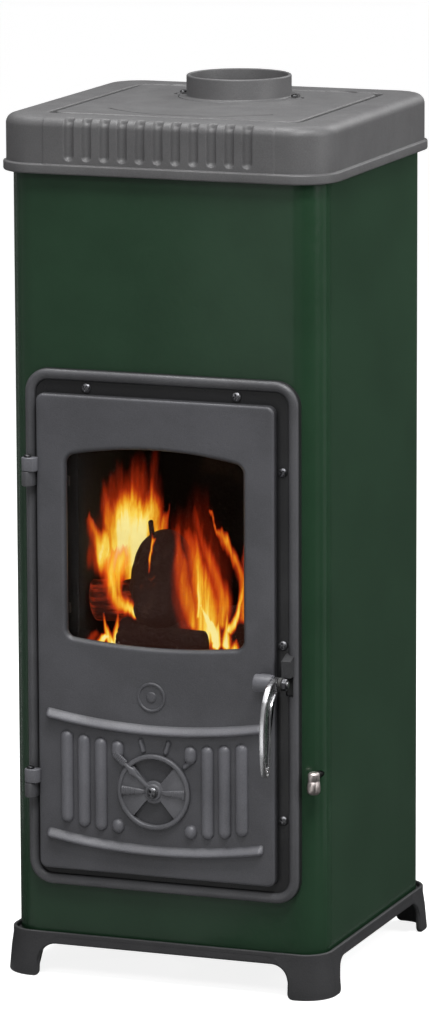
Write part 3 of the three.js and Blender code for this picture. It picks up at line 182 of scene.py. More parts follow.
def turned(profile, centre, axis="z", sides=48, closed=False):
    """A profile of (radius, along) turned round an axis: centre + radius (cos a, sin a) across it.
    Axis front runs towards the viewer, and back the other way."""
    radius, along = np.asarray(profile, float).T[:, :, None]
    a = np.linspace(0, 2 * np.pi, sides, endpoint=False)[None, :]
    across, rise, out = radius * np.cos(a), radius * np.sin(a), along + 0 * a
    place = {"z": (across, rise, out), "x": (out, across, rise),
             "front": (across, -out, rise), "back": (across, out, rise)}[axis]
    return skin(np.stack(place, -1) + np.asarray(centre, float), closed)


def prism(loop, place, low, high, edge=0.6, parts=3):
    """A loop pushed along an axis, with rounded edges: near an end it is drawn in by
    edge (1 - cos t) while it runs edge (1 - sin t) short of that end."""
    t = np.radians(np.linspace(0, 90, parts + 1))
    draw, short = -edge * (1 - np.sin(t)), edge * (1 - np.cos(t))
    stations = list(zip(draw, low + short)) + list(zip(draw[::-1], high - short[::-1]))
    return skin([place(grown(loop, reach), at) for reach, at in stations])


def stadium(path, reach, end=8):
    """A loop at one distance round an open path: the path moved to its right, half a circle about
    its end, the path moved to its left, and half a circle about its start."""
    path = np.asarray(path, float)
    run = np.gradient(path, axis=0)
    run /= np.linalg.norm(run, axis=1, keepdims=True)
    side = np.stack([run[:, 1], -run[:, 0]], 1) * reach
    t = np.radians(np.linspace(0, 180, end + 1))[1:-1, None]
    cap = lambda p, s, r: p + np.cos(t) * s + np.sin(t) * r * reach
    return np.concatenate([path + side, cap(path[-1], side[-1], run[-1]),
                           path[::-1] - side[::-1], cap(path[0], -side[0], -run[0])])


# %% Putting a piece in the scene
def new_mesh(name, solids, smooth=35):
    """One mesh from closed solids, in metres, with doubles at its poles merged."""
    points, faces, start = [], [], 0
    for p, f in solids:
        points.append(p)
        faces += [[start + corner for corner in face] for face in f]
        start += len(p)
    mesh = bpy.data.meshes.new(name)
    mesh.from_pydata((np.concatenate(points) * MM).tolist(), [], faces)
    tidy = bmesh.new()
    tidy.from_mesh(mesh)
    bmesh.ops.remove_doubles(tidy, verts=tidy.verts, dist=2e-6)
    bmesh.ops.dissolve_degenerate(tidy, edges=tidy.edges, dist=1e-6)
    tidy.to_mesh(mesh)
    tidy.free()
    mesh.shade_smooth()
    mesh.set_sharp_from_angle(angle=math.radians(smooth))
    return mesh


def in_scene(name, data):
    """A new object in the scene."""
    made = bpy.data.objects.new(name, data)
    bpy.context.scene.collection.objects.link(made)
    return made


def dressed(made, finish, body, replaces=()):
    """Gives a piece one finish, a CAD body to ride on and the CAD nodes that it replaces."""
    made.data.materials.clear()
    made.data.materials.append(finish)
    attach(made, body)
    if replaces:
        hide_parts(*replaces)
    print(made.name, len(made.data.vertices), "points, on", body)


def piece(name, solids, finish, body, replaces=(), smooth=35, cuts=(), whole=()):
    """A named piece made of closed solids, less the solids in cuts, riding on a CAD body. A boolean
    wants solids that don't run through each other, so the ones in whole are joined on after it."""
    made = in_scene(name, new_mesh(name, solids, smooth))
    for cutter in cuts:
        carve(made, cutter, smooth)
    if whole:
        both = bmesh.new()
        both.from_mesh(made.data)
        both.from_mesh(new_mesh(name, whole, smooth))
        both.to_mesh(made.data)
        both.free()
    made.data.shade_smooth()
    made.data.set_sharp_from_angle(angle=math.radians(smooth))
    dressed(made, finish, body, replaces)


def carve(made, cutter, smooth):
    """Takes a solid out of a piece with Blender's exact boolean, and keeps the mesh that is left."""
    tool = in_scene("cutter", new_mesh("cutter", [cutter], smooth))
    cut = made.modifiers.new("cut", "BOOLEAN")
    cut.operation, cut.solver, cut.object = "DIFFERENCE", "EXACT", tool
    bpy.context.view_layer.update()
    seen = made.evaluated_get(bpy.context.evaluated_depsgraph_get())
    left = bpy.data.meshes.new_from_object(seen)
    made.modifiers.clear()
    made.data = left
    left.shade_smooth()
    left.set_sharp_from_angle(angle=math.radians(smooth))
    bpy.data.objects.remove(tool)


def softened(node, finish, body, edge, angle=30):
    """A CAD node's shape with round edges: its loose triangles are merged and its flat faces joined,
    and a Bevel modifier rounds each edge that turns by more than an angle, in degrees."""
    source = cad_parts[node].data
    co = np.empty(len(source.vertices) * 3, np.float32)
    source.vertices.foreach_get("co", co)
    corners = np.empty(len(source.loops), np.int32)
    source.loops.foreach_get("vertex_index", corners)
    mesh = bpy.data.meshes.new(node + "_finished")
    mesh.from_pydata(co.reshape(-1, 3).tolist(), [], corners.reshape(-1, 3).tolist())
    tidy = bmesh.new()
    tidy.from_mesh(mesh)
    bmesh.ops.remove_doubles(tidy, verts=tidy.verts, dist=5e-6)
    bmesh.ops.dissolve_limit(tidy, angle_limit=math.radians(0.5), verts=tidy.verts, edges=tidy.edges)
    tidy.to_mesh(mesh)
    tidy.free()
    mesh.shade_smooth()
    mesh.set_sharp_from_angle(angle=math.radians(angle + 8))
    made = in_scene(mesh.name, mesh)
    rounding = made.modifiers.new("rounding", "BEVEL")
    rounding.width, rounding.segments = edge * MM, 3
    rounding.limit_method, rounding.angle_limit = "ANGLE", math.radians(angle)
    rounding.harden_normals = True
    dressed(made, finish, body, [node])


# %% [markdown]
# ## Effects that several finishes share
#
# Sand-cast iron keeps the grain of the mould, and any surface near a fire gathers dust on its upper faces.
# Shade is painted into low places: the further back a point lies behind a crest, the darker its colour.
# These effects go into shader node groups, built once and placed in each material with its own values. All
# of them read Object coordinates, so that a pattern stays on its piece when the door swings.

# %% Small helpers for node trees
def add(tree, kind, **values):
    """Adds a node and sets its attributes, or its inputs where the name is an input's."""
    node = tree.nodes.new(kind)
    for key, value in values.items():
        if hasattr(node, key):
            setattr(node, key, value)
        else:
            node.inputs[key.replace("_", " ")].default_value = value
    return node


def feed(tree, value, socket):
    """Gives a socket a number, a colour or another node's output."""
    if isinstance(value, (int, float)):
        socket.default_value = value
    elif isinstance(value, tuple):
        socket.default_value = (*value, 1)
    else:
        tree.links.new(value, socket)


def group(name, inputs, outputs):
    """A new shader node group with float inputs and float outputs, and its two end nodes."""
    tree = bpy.data.node_groups.new(name, "ShaderNodeTree")
    for key, value in inputs.items():
        socket = tree.interface.new_socket(key, in_out="INPUT", socket_type="NodeSocketFloat")
        socket.default_value = value
    for key in outputs:
        tree.interface.new_socket(key, in_out="OUTPUT", socket_type="NodeSocketFloat")
    return tree, tree.nodes.new("NodeGroupInput"), tree.nodes.new("NodeGroupOutput")


def own_place(tree):
    """Object coordinates, which stay on a piece when it moves."""
    return add(tree, "ShaderNodeTexCoord").outputs["Object"]


def noise_at(tree, coordinates, scale, **values):
    """The value of a noise texture on given coordinates. Its scale is a number or an output."""
    noise = add(tree, "ShaderNodeTexNoise", **values)
    tree.links.new(coordinates, noise.inputs["Vector"])
    feed(tree, scale, noise.inputs["Scale"])
    return noise.outputs["Fac"]


def maths(tree, operation, first, second):
    """A Math node on two sockets or numbers."""
    node = add(tree, "ShaderNodeMath", operation=operation)
    feed(tree, first, node.inputs[0])
    feed(tree, second, node.inputs[1])
    return node.outputs[0]


def ranged(tree, value, low, high, to_low=0.0, to_high=1.0):
    """A value taken from one range to another with a smooth step, and kept inside it."""
    node = add(tree, "ShaderNodeMapRange", interpolation_type="SMOOTHSTEP")
    for key, given in (("Value", value), ("From Min", low), ("From Max", high), ("To Min", to_low),
                       ("To Max", to_high)):
        feed(tree, given, node.inputs[key])
    return node.outputs["Result"]


# %% Cast grain, settled dust and painted shade as node groups
tree, start, end = group("cast_grain", {"Grain Size": 1.4, "Pits": 0.5}, ("Height", "Mottle"))
grain_group, place = tree, own_place(tree)
per_metre = maths(tree, "DIVIDE", 1000.0, start.outputs["Grain Size"])
sand = noise_at(tree, place, per_metre, Detail=2.0, Roughness=0.6)
coarse = noise_at(tree, place, maths(tree, "MULTIPLY", per_metre, 0.22), Detail=1.0)
pitted = maths(tree, "MULTIPLY", maths(tree, "SUBTRACT", ranged(tree, coarse, 0.28, 0.42), 1.0),
               start.outputs["Pits"])
tree.links.new(maths(tree, "ADD", sand, pitted), end.inputs["Height"])
broad = noise_at(tree, place, 14.0, Detail=3.0, Roughness=0.55)
speckled = maths(tree, "MULTIPLY", ranged(tree, sand, 0.3, 0.7), 0.45)
tree.links.new(maths(tree, "ADD", speckled, ranged(tree, broad, 0.3, 0.7, 0.0, 0.55)), end.inputs["Mottle"])

tree, start, end = group("settled_dust", {"Amount": 0.3}, ("Mask",))
dust_group, upward = tree, add(tree, "ShaderNodeSeparateXYZ")
tree.links.new(add(tree, "ShaderNodeNewGeometry").outputs["Normal"], upward.inputs[0])
cloud = noise_at(tree, own_place(tree), 30.0, Detail=5.0, Roughness=0.65)
patchy = maths(tree, "MULTIPLY", ranged(tree, upward.outputs["Z"], 0.35, 1.0),
               ranged(tree, cloud, 0.35, 0.75))
tree.links.new(maths(tree, "MULTIPLY", patchy, start.outputs["Amount"]), end.inputs["Mask"])

# Painted shade: a share for a base colour, 1 at the crest and Left at the floor, by the depth y in Object
# coordinates.
tree, start, end = group("painted_shade_depth", {"Crest": 0.0, "Floor": 0.0, "Left": 0.5}, ("Share",))
shade_group, depth = tree, add(tree, "ShaderNodeSeparateXYZ")
tree.links.new(own_place(tree), depth.inputs[0])
share = ranged(tree, depth.outputs["Y"], start.outputs["Crest"], start.outputs["Floor"], 1.0,
               start.outputs["Left"])
tree.links.new(share, end.inputs["Share"])
print("node groups", [g.name for g in bpy.data.node_groups])


# %% [markdown]
# ## Finishes
#
# Four paints and metals carry the whole stove: a dark green enamel fired on sheet steel, a grey stove paint
# on sand-cast iron, a flat black on what stands near the fire, and chrome on what a hand touches. Each
# colour is written as the surface's own colour, and the light is set so that it comes out about as written,
# except for the shade painted into low places and the warm reflection painted into the knob's metal.

# %% The start of a material
def finish(name, color, roughness, metallic=0.0, **values):
    """A material with a Principled BSDF. Other values go to the sockets of the same name."""
    made = bpy.data.materials.new(name)
    made.use_nodes = True
    made.diffuse_color = (*color, 1)
    shader = made.node_tree.nodes["Principled BSDF"]
    shader.inputs["Base Color"].default_value = (*color, 1)
    shader.inputs["Roughness"].default_value = roughness
    shader.inputs["Metallic"].default_value = metallic
    for key, value in values.items():
        shader.inputs[key.replace("_", " ")].default_value = value
    return made, made.node_tree, shader


def placed(tree, which, **values):
    """A node group in a material, with its own values."""
    node = tree.nodes.new("ShaderNodeGroup")
    node.node_tree = which
    for key, value in values.items():
        node.inputs[key.replace("_", " ")].default_value = value
    return node


def bump(tree, shader, height, strength, distance):
    """A height that feeds the shader's normal, over another one where there is one already."""
    node = add(tree, "ShaderNodeBump", Strength=strength, Distance=distance * MM)
    tree.links.new(height, node.inputs["Height"])
    before = shader.inputs["Normal"].links
    if before:
        tree.links.new(before[0].from_socket, node.inputs["Normal"])
    tree.links.new(node.outputs["Normal"], shader.inputs["Normal"])


def blended(tree, mask, low, high):
    """A colour between two colours or colour sockets, by a mask."""
    node = add(tree, "ShaderNodeMix", data_type="RGBA")
    tree.links.new(mask, node.inputs["Factor"])
    for key, value in (("A", low), ("B", high)):
        feed(tree, value, [s for s in node.inputs if s.name == key and s.type == "RGBA"][0])
    return [s for s in node.outputs if s.type == "RGBA"][0]


def coloured(tree, shader, mask, low, high, socket="Base Color"):
    """Feeds one of the shader's colours with a colour between two, by a mask."""
    tree.links.new(blended(tree, mask, low, high), shader.inputs[socket])


# %% Paint on cast iron
def cast_paint(name, dark, light, roughness, grain=1.3, strength=0.35, pits=0.5, dust=0.25):
    """Stove paint on sand-cast iron: grain for a bump, and a mottle between a dark and a light tone."""
    made, tree, shader = finish(name, light, roughness, Specular_IOR_Level=0.42)
    cast = placed(tree, grain_group, Grain_Size=grain, Pits=pits)
    settled = placed(tree, dust_group, Amount=dust)
    tone = blended(tree, cast.outputs["Mottle"], dark, light)
    dusty = tuple(0.55 * c + 0.1 for c in light)
    coloured(tree, shader, settled.outputs["Mask"], tone, dusty)
    tree.links.new(ranged(tree, cast.outputs["Mottle"], 0, 1, roughness + 0.1, roughness - 0.07),
                   shader.inputs["Roughness"])
    bump(tree, shader, cast.outputs["Height"], strength, 0.35)
    return made


hood_paint = cast_paint("hood_paint", (0.063, 0.062, 0.064), (0.095, 0.094, 0.096), 0.47)
base_paint = cast_paint("base_paint", (0.024, 0.024, 0.026), (0.039, 0.039, 0.041), 0.5)
door_paint = cast_paint("door_paint", (0.087, 0.087, 0.096), (0.139, 0.139, 0.154), 0.4)
rosette_paint = cast_paint("rosette_paint", (0.074, 0.074, 0.081), (0.118, 0.118, 0.129), 0.34)
frame_paint = cast_paint("frame_paint", (0.052, 0.052, 0.056), (0.084, 0.084, 0.09), 0.34)
black_cast = cast_paint("black_cast", (0.012, 0.012, 0.013), (0.03, 0.029, 0.028), 0.62, dust=0.5)
black_sheet = cast_paint("black_sheet", (0.014, 0.014, 0.015), (0.024, 0.024, 0.025), 0.5, grain=0.8,
                         strength=0.12, pits=0.0, dust=0.3)

# %% Painted shade in the frame's channel, in the low places of the door and on the rosette
# Each base colour is scaled down towards the back: painted shade in the frame's channel, between the door's
# relief, in the dial's wells and on the rosette's low parts. The door paint is lighter than the frame's, so
# the door's crests also carry a painted highlight.
for made, crest, floor_y, left in (
        (frame_paint, -0.1562, -0.1532, 0.2), (door_paint, -0.168, -0.1646, 0.6),
        (door_paint, -0.1634, -0.161, 0.5), (rosette_paint, -0.1676, -0.1646, 0.5)):
    tree = made.node_tree
    colour = tree.nodes["Principled BSDF"].inputs["Base Color"]
    darker = add(tree, "ShaderNodeVectorMath", operation="SCALE")
    tree.links.new(colour.links[0].from_socket, darker.inputs[0])
    shaded_by_depth = placed(tree, shade_group, Crest=crest, Floor=floor_y, Left=left)
    tree.links.new(shaded_by_depth.outputs["Share"], darker.inputs["Scale"])
    tree.links.new(darker.outputs[0], colour)

# %% Enamel fired on sheet steel
enamel, tree, shader = finish("enamel", (0.0136, 0.0367, 0.0183), 0.2, Specular_IOR_Level=0.45)
place = own_place(tree)
peel = noise_at(tree, place, 170.0, Detail=2.0, Roughness=0.5)
waves = noise_at(tree, place, 24.0, Detail=1.0)
cloudy = noise_at(tree, place, 9.0, Detail=4.0, Roughness=0.6)
coloured(tree, shader, ranged(tree, cloudy, 0.3, 0.7), (0.0122, 0.034, 0.017), (0.0151, 0.0405, 0.0207))
tree.links.new(ranged(tree, peel, 0.3, 0.7, 0.27, 0.19), shader.inputs["Roughness"])
bump(tree, shader, peel, 0.22, 0.5)
bump(tree, shader, waves, 0.25, 0.6)


# %% Chrome, steel, rope, lining and glass
def stretched(tree, scale):
    """Object coordinates with a scale for each axis, so that a pattern on them is drawn out."""
    node = add(tree, "ShaderNodeMapping")
    node.inputs["Scale"].default_value = scale
    tree.links.new(own_place(tree), node.inputs["Vector"])
    return node.outputs["Vector"]


def metal(name, dark, light, roughness, scratch=420.0, wear=0.05):
    """Bare or plated metal, with fine wipe marks that change its roughness a little."""
    made, tree, shader = finish(name, light, roughness, 1.0)
    marks = noise_at(tree, stretched(tree, (1, 1, 0.12)), scratch, Detail=3.0, Roughness=0.7)
    haze = noise_at(tree, own_place(tree), 60.0, Detail=3.0)
    coloured(tree, shader, ranged(tree, haze, 0.3, 0.7), dark, light)
    tree.links.new(ranged(tree, marks, 0.3, 0.75, roughness * 0.7, roughness * 1.8),
                   shader.inputs["Roughness"])
    bump(tree, shader, marks, wear, 0.1)
    return made


chrome = metal("chrome", (0.68, 0.68, 0.7), (0.86, 0.86, 0.88), 0.19, 160.0, 0.004)
steel = metal("steel", (0.22, 0.22, 0.23), (0.38, 0.375, 0.37), 0.3)
dark_steel = metal("dark_steel", (0.03, 0.03, 0.032), (0.07, 0.07, 0.072), 0.34)
screw_steel = metal("screw_steel", (0.13, 0.13, 0.14), (0.24, 0.24, 0.25), 0.38)
# The knob's pink tint and light tone are a painted warm reflection.
knob_metal_painted_reflection = metal("knob_metal_painted_reflection", (0.78, 0.69, 0.66), (0.95, 0.87, 0.84), 0.34)

rope, tree, shader = finish("rope", (0.09, 0.088, 0.085), 0.95, Sheen_Weight=0.3)
fibres = noise_at(tree, own_place(tree), 900.0, Detail=2.0)
soiled = noise_at(tree, own_place(tree), 35.0, Detail=3.0)
coloured(tree, shader, ranged(tree, soiled, 0.35, 0.65), (0.035, 0.033, 0.031), (0.14, 0.135, 0.13))
bump(tree, shader, fibres, 0.7, 0.4)

lining, tree, shader = finish("lining", (0.07, 0.05, 0.036), 0.95)
flakes = add(tree, "ShaderNodeTexVoronoi", Scale=260.0)
tree.links.new(own_place(tree), flakes.inputs["Vector"])
smoke = noise_at(tree, own_place(tree), 11.0, Detail=5.0, Roughness=0.6)
board = blended(tree, flakes.outputs["Distance"], (0.035, 0.025, 0.017), (0.06, 0.045, 0.03))
coloured(tree, shader, ranged(tree, smoke, 0.2, 0.42), board, (0.004, 0.0032, 0.003))
bump(tree, shader, flakes.outputs["Distance"], 0.4, 0.6)

glass, tree, shader = finish("glass", (0.9, 0.88, 0.84), 0.03, Transmission_Weight=1.0, IOR=1.04)
film = noise_at(tree, own_place(tree), 12.0, Detail=4.0, Roughness=0.6)
tree.links.new(ranged(tree, film, 0.35, 0.75, 0.02, 0.12), shader.inputs["Roughness"])
coloured(tree, shader, ranged(tree, film, 0.45, 0.8), (0.97, 0.96, 0.94), (0.82, 0.76, 0.68))
print("finishes", [m.name for m in bpy.data.materials if not m.users])


# %% [markdown]
# ## The casing
#
# The casing is one sheet of steel, wrapped round into a tube with large round corners and then
# enamelled. A loop of points round the stove is drawn at the bottom and at the top, outside and
# inside, and its edges are rolled. The doorway, the opening at the back and the hole for the shaker
# rod are then cut out with booleans, because holes in a flat sheet are easier to cut than to weave.
# Where the side sheets meet the front corner there is a shallow folded seam.

# %% Loops round the casing
def casing_loop(overhang, radius=None, corner=16, steps=(1, 1, 1, 1)):
    """The casing's outline in plan, moved outwards by overhang."""
    x, y = casing_half_x + overhang, casing_half_y + overhang
    r = casing_radius + overhang if radius is None else radius
    return rounded_loop(-x, x, middle_y - y, middle_y + y, r, corner, steps)


def around(box, grow, radius, corner=8, steps=(1, 1, 1, 1)):
    """A rounded outline round a box of (left, right, low, high), moved outwards by grow."""
    left, right, low, high = box
    return rounded_loop(left - grow, right + grow, low - grow, high + grow, radius, corner, steps)


sheet, edge_roll = 2.0, 0.8
doorway = (-136.8, 129.8, 138.7, 666.3)
rear_lo, rear_hi = extent("rear_panel")
rod_lo, rod_hi = extent("riddling_rod")
shaker_x, shaker_z = rod_hi[0] - 3.5, (rod_lo[2] + rod_hi[2]) / 2
low, high = casing_lo[2], casing_hi[2]
wall = rounded_line([(-sheet, low + 20, 0), (-sheet, low, edge_roll), (0, low, edge_roll), (0, low + 20, 0),
                     (0, high - 20, 0), (0, high, edge_roll), (-sheet, high, edge_roll),
                     (-sheet, high - 20, 0)])
casing_skin = skin([level(casing_loop(o), z) for o, z in wall], closed=True)
seam_y = front_y + casing_radius + 1.0
seam_out, seam_in = casing_half_x + 2, casing_half_x - 0.75
seams = [prism(np.array([[s * seam_out, seam_y - 0.7], [s * seam_in, seam_y - 0.35],
                         [s * seam_in, seam_y + 0.35], [s * seam_out, seam_y + 0.7]])[::s],
               level, low - 5, high + 5, 0.05) for s in (1, -1)]
piece(
    "casing_shell", [casing_skin], enamel, "stove", ["casing"],
    cuts=[
        prism(around(doorway, 0, 13), upright, front_y - 8, front_y + 8, 0.1),
        prism(around((rear_lo[0], rear_hi[0], rear_lo[2], rear_hi[2]), -28, 8), upright,
              casing_hi[1] - 8, casing_hi[1] + 8, 0.1),
        turned([(0, 0), (4.3, 0), (4.3, 30), (0, 30)], (shaker_x, front_y + 32, shaker_z), "front", 24),
        *seams,
    ])


# %% [markdown]
# ## The cast base
#
# The base is a skirt whose lower edge steps down to the floor at each corner as a foot. It is easiest
# to think of the skirt unrolled: along it runs the distance round the stove, and up it the height.
# The lower edge is a line in that sheet, and the outer and inner faces meet it in a round edge that
# starts inside the line, along its normal. Rolled up again, the sheet leans outwards towards the
# floor, as a casting must to leave its mould.

# %% The lower edge of the skirt, unrolled
rim_top, skirt_low = 52.2, 38.8
rim_overhang, foot_overhang, rim_radius = 6.0, 11.0, 32.0
rim_wall, foot_wall, edge_round = 4.0, 6.5, 2.2
mean_wall, foot_rise = 5.5, 0.6
arch_radius, toe_radius = 20.0, 7.0
front_gap, side_gap = 301, 276
flange_low, flange_high = 41.05, 47


def half_side(half_gap, corner_start):
    """The lower edge from the middle of a side to the start of its round corner, as (along, up),
    and the place on the rim over each point. The arch and the toe are quarter circles."""
    t = np.radians(np.linspace(0, 90, 9))[:, None]
    arch = np.hstack([half_gap - arch_radius * (1 - np.sin(t)), skirt_low - arch_radius * (1 - np.cos(t))])
    toe = np.hstack([half_gap + toe_radius * (1 - np.cos(t)), toe_radius * (1 - np.sin(t))])
    line = np.concatenate([[[0, skirt_low]], [[half_gap * 0.5, skirt_low]], arch, toe, [[corner_start, 0]]])
    run = np.concatenate([[0], np.cumsum(np.linalg.norm(np.diff(line, axis=0), axis=1))])
    return line, run / run[-1] * corner_start


def skirt_line(half_gap_front, half_gap_side):
    """The whole lower edge once round the stove: plan point, plan normal, height of the edge, and the
    rim's plan point and normal, for every column of the skirt."""
    columns = []
    centre_x = casing_half_x + rim_overhang - rim_radius
    centre_y = casing_half_y + rim_overhang - rim_radius
    for quarter in range(4):
        along_x = quarter % 2 == 0
        half_gap, length = (half_gap_front, centre_x) if along_x else (half_gap_side, centre_y)
        other = centre_y if along_x else centre_x
        line, rim = half_side(half_gap, length)
        turn = math.radians(90 * quarter)
        rotate = np.array([[math.cos(turn), -math.sin(turn)], [math.sin(turn), math.cos(turn)]])
        flat = lambda s: np.column_stack([s, np.full(len(s), -other - rim_radius)]) @ rotate.T
        facing = np.tile(np.array([0.0, -1.0]) @ rotate.T, (len(line), 1))
        right = [flat(line[:, 0]), facing, line[:, 1], flat(rim), facing]
        left = [flat(-line[::-1, 0]), facing, line[::-1, 1], flat(-rim[::-1]), facing]
        a = np.radians(np.linspace(-90, 0, 15)[1:-1])
        normal = np.column_stack([np.cos(a), np.sin(a)]) @ rotate.T
        corner = (np.array([length, -other]) @ rotate.T) + rim_radius * normal
        columns += [left, [right[0][1:], facing[1:], right[2][1:], right[3][1:], facing[1:]],
                    [corner, normal, np.zeros(len(a)), corner, normal]]
    plan, normal, edge_z, rim_plan, rim_normal = (np.concatenate([c[k] for c in columns]) for k in range(5))
    return plan + [0, middle_y], normal, edge_z, rim_plan + [0, middle_y], rim_normal


# %% The skirt with its feet
def skirt():
    """Rows of the closed wall: (inwards from the edge, depth from the outer face, share of the height).
    Along a column the height is mixed from the lower edge to the rim, and the lean from foot to rim."""
    plan, normal, edge_z, rim_plan, rim_normal = skirt_line(front_gap / 2, side_gap / 2)
    step = np.roll(plan, -1, 0) - np.roll(plan, 1, 0)
    tangent = np.column_stack([np.einsum("ij,ij->i", step, np.column_stack([-normal[:, 1], normal[:, 0]])),
                               np.roll(edge_z, -1) - np.roll(edge_z, 1)])
    tangent /= np.linalg.norm(tangent, axis=1, keepdims=True)
    inward = np.column_stack([-tangent[:, 1], tangent[:, 0]])
    side = np.column_stack([-normal[:, 1], normal[:, 0]])
    t = np.radians(np.linspace(0, 90, 6))
    rows = []

    def row(inset, depth, share):
        z = edge_z + inward[:, 1] * inset
        z = z + (rim_top - z) * share
        at = plan + side * (inward[:, :1] * inset)
        at = at + (rim_plan - at) * share
        lean = (foot_overhang - rim_overhang) * (1 - z / rim_top)
        thick = rim_wall + (foot_wall - rim_wall) * (1 - z / rim_top)
        rows.append(np.column_stack([at + normal * (lean - depth * thick)[:, None], z]))

    def rim_row(depth, down):
        rows.append(np.column_stack([rim_plan - rim_normal * depth, np.full(len(edge_z), rim_top - down)]))

    round_share = edge_round / mean_wall
    for share in (0.55, 0.25, 0.0):
        row(edge_round + foot_rise * share, 0, share)
    for a in t[1:]:
        row(edge_round * (1 - math.sin(a)), round_share * (1 - math.cos(a)), 0)
    for a in t[::-1]:
        row(edge_round * (1 - math.sin(a)), 1 - round_share * (1 - math.cos(a)), 0)
    row(edge_round + foot_rise * 0.5, 1, 0.5)
    for depth, down in rounded_line([(rim_wall, 8, 0), (rim_wall, 0, 1.0), (0, 0, 1.3), (0, 8, 0)], 4):
        rim_row(depth, down)
    return skin(rows, closed=True)


flange_outer = casing_loop(rim_overhang - rim_wall / 2, rim_radius)
flange_inner = casing_loop(-34, 3)
base_flange = skin([level(flange_outer, flange_low), level(flange_outer, flange_high),
                    level(flange_inner, flange_high), level(flange_inner, flange_low)], closed=True)
piece("base_casting", [skirt(), base_flange], base_paint, "stove", ["base_frame"], smooth=40)


# %% [markdown]
# ## The hood
#
# The top plate is a cast hood with a lip. Its rings start inside the lip's lower edge, come out over
# the lip, climb the face, turn over the big round edge and run to the hole for the cover. They then go
# down to a ledge and back along the inside. The scoops in its front are made as a foundry pattern has
# them, by a round-nosed tool that runs upwards and out over the round edge: each point near the front
# is pushed in along its normal by the tool's depth there.

# %% Rings of the hood
lip_low, lip_high, lip_over, hood_over, hood_wall = 921.0, 932.0, 11.5, 8.0, 7.0
plate_top = extent("top_cover")[1][2]
ledge_z, roof_low, seat_z, seat_over = plate_top - 5.3, plate_top - 10, 928.0, -4.0
edge_radius = 11.0
hood_parts = (1, 1, 1, 380)
cover_hole, cover_gap, cover_corner = (-151, 151, -115, 177), 7, 14


def hood_rings(stations):
    """Rings round the casing through (overhang, height) stations."""
    return [level(casing_loop(overhang, corner=16, steps=hood_parts), z) for overhang, z in stations]


def hole_rings(stations):
    """Rings of the hole for the cover, through (growth, height) stations."""
    return [level(around(cover_hole, grow, cover_corner, 16, hood_parts), z) for grow, z in stations]


climb = [(hood_over, z) for z in np.concatenate([np.linspace(934, 944, 13), np.linspace(948, 970, 5)])]
outside = np.concatenate([
    rounded_line([(seat_over, lip_low, 0), (lip_over, lip_low, 2.2), (lip_over, lip_high, 2.6),
                  (hood_over, lip_high, 1.0), (hood_over, lip_high + 1.6, 0)], 6),
    climb,
    bend((hood_over, plate_top - edge_radius), (hood_over, plate_top),
         (hood_over - edge_radius, plate_top), 16),
    [[-10, plate_top]],
])
ledge = [*rounded_line([(4, plate_top, 0), (0, plate_top, 1.8), (0, ledge_z, 0)], 5), (-15, ledge_z),
         (-15, roof_low)]
inside = [(hood_over - hood_wall, roof_low), (hood_over - hood_wall, seat_z), (seat_over, seat_z)]
rings = hood_rings(outside) + hole_rings(ledge) + hood_rings(inside)
print("hood", len(rings), "rings")


# %% The raised panel and its scoops
def ramp(value, low, high):
    """A smooth step: t squared times (3 - 2t), where t runs from 0 at low to 1 at high."""
    t = np.clip((value - low) / (high - low), 0, 1)
    return t * t * (3 - 2 * t)


panel_half, panel_proud = 136.5, 0.8
scoop_count, scoop_pitch, scoop_radius, scoop_depth, scoop_low = 11, 21.1, 6.2, 4.2, 936.0


def scooped(points):
    """Moves the front's points: out by the panel's height, then in by the depth of the scoops. A scoop
    is the mark of a round bar with a ball at its lower end, so its depth is
    sqrt(radius^2 - dx^2 - dz^2) - (radius - scoop_depth), where dx runs to the nearest bar. It is cut
    along the surface's own normal, which leans back over the round edge as z = radius sin(lean)."""
    x, y, z = points.T.copy()
    front = (y < front_y + 12) & (z > lip_high - 0.05)
    y = y - np.where(front, panel_proud * ramp(-abs(x), -panel_half - 0.5, -panel_half + 0.1), 0)
    nearest = np.clip(np.round(x / scoop_pitch), -(scoop_count // 2), scoop_count // 2) * scoop_pitch
    below = np.minimum(z - scoop_low - scoop_radius, 0)
    inside = scoop_radius**2 - (x - nearest) ** 2 - below**2
    lean = np.arcsin(np.clip((z - plate_top + edge_radius) / edge_radius, 0, 1))
    depth = np.where(inside > 0, np.sqrt(np.maximum(inside, 0)) - scoop_radius + scoop_depth, -4)
    depth = 0.5 * (depth + np.sqrt(depth**2 + 0.1)) * front * (1 - ramp(lean, 0.85, 1.5))
    return np.column_stack([x, y + depth * np.cos(lean), z - depth * np.sin(lean)])


hood_skin = skin([scooped(r) for r in rings], closed=True)
notch = [(0, -2.5), (23.5, -2.5), *bend((23.5, -2.5), (26, -2.5), (26, -0.9), 4), (27.2, 1.2), (0, 1.2)]
piece(
    "hood_casting", [hood_skin], hood_paint, "stove", ["top_plate"], smooth=40,
    cuts=[turned(notch, (s * 96, 160, plate_top), "z", 64) for s in (-1, 1)])


# %% [markdown]
# ## The cover and the flue collar
#
# The cover lies loose in the hood, with a shadow gap all round. Its rings run from the round hole
# under the collar, up to a shallow round recess, out to the rounded rectangle, and back below. Each
# point of the outline gives the direction of a spoke, so that circles and rectangle share their points.
# A thin arc is engraved in front of the collar, with a dot at each end.

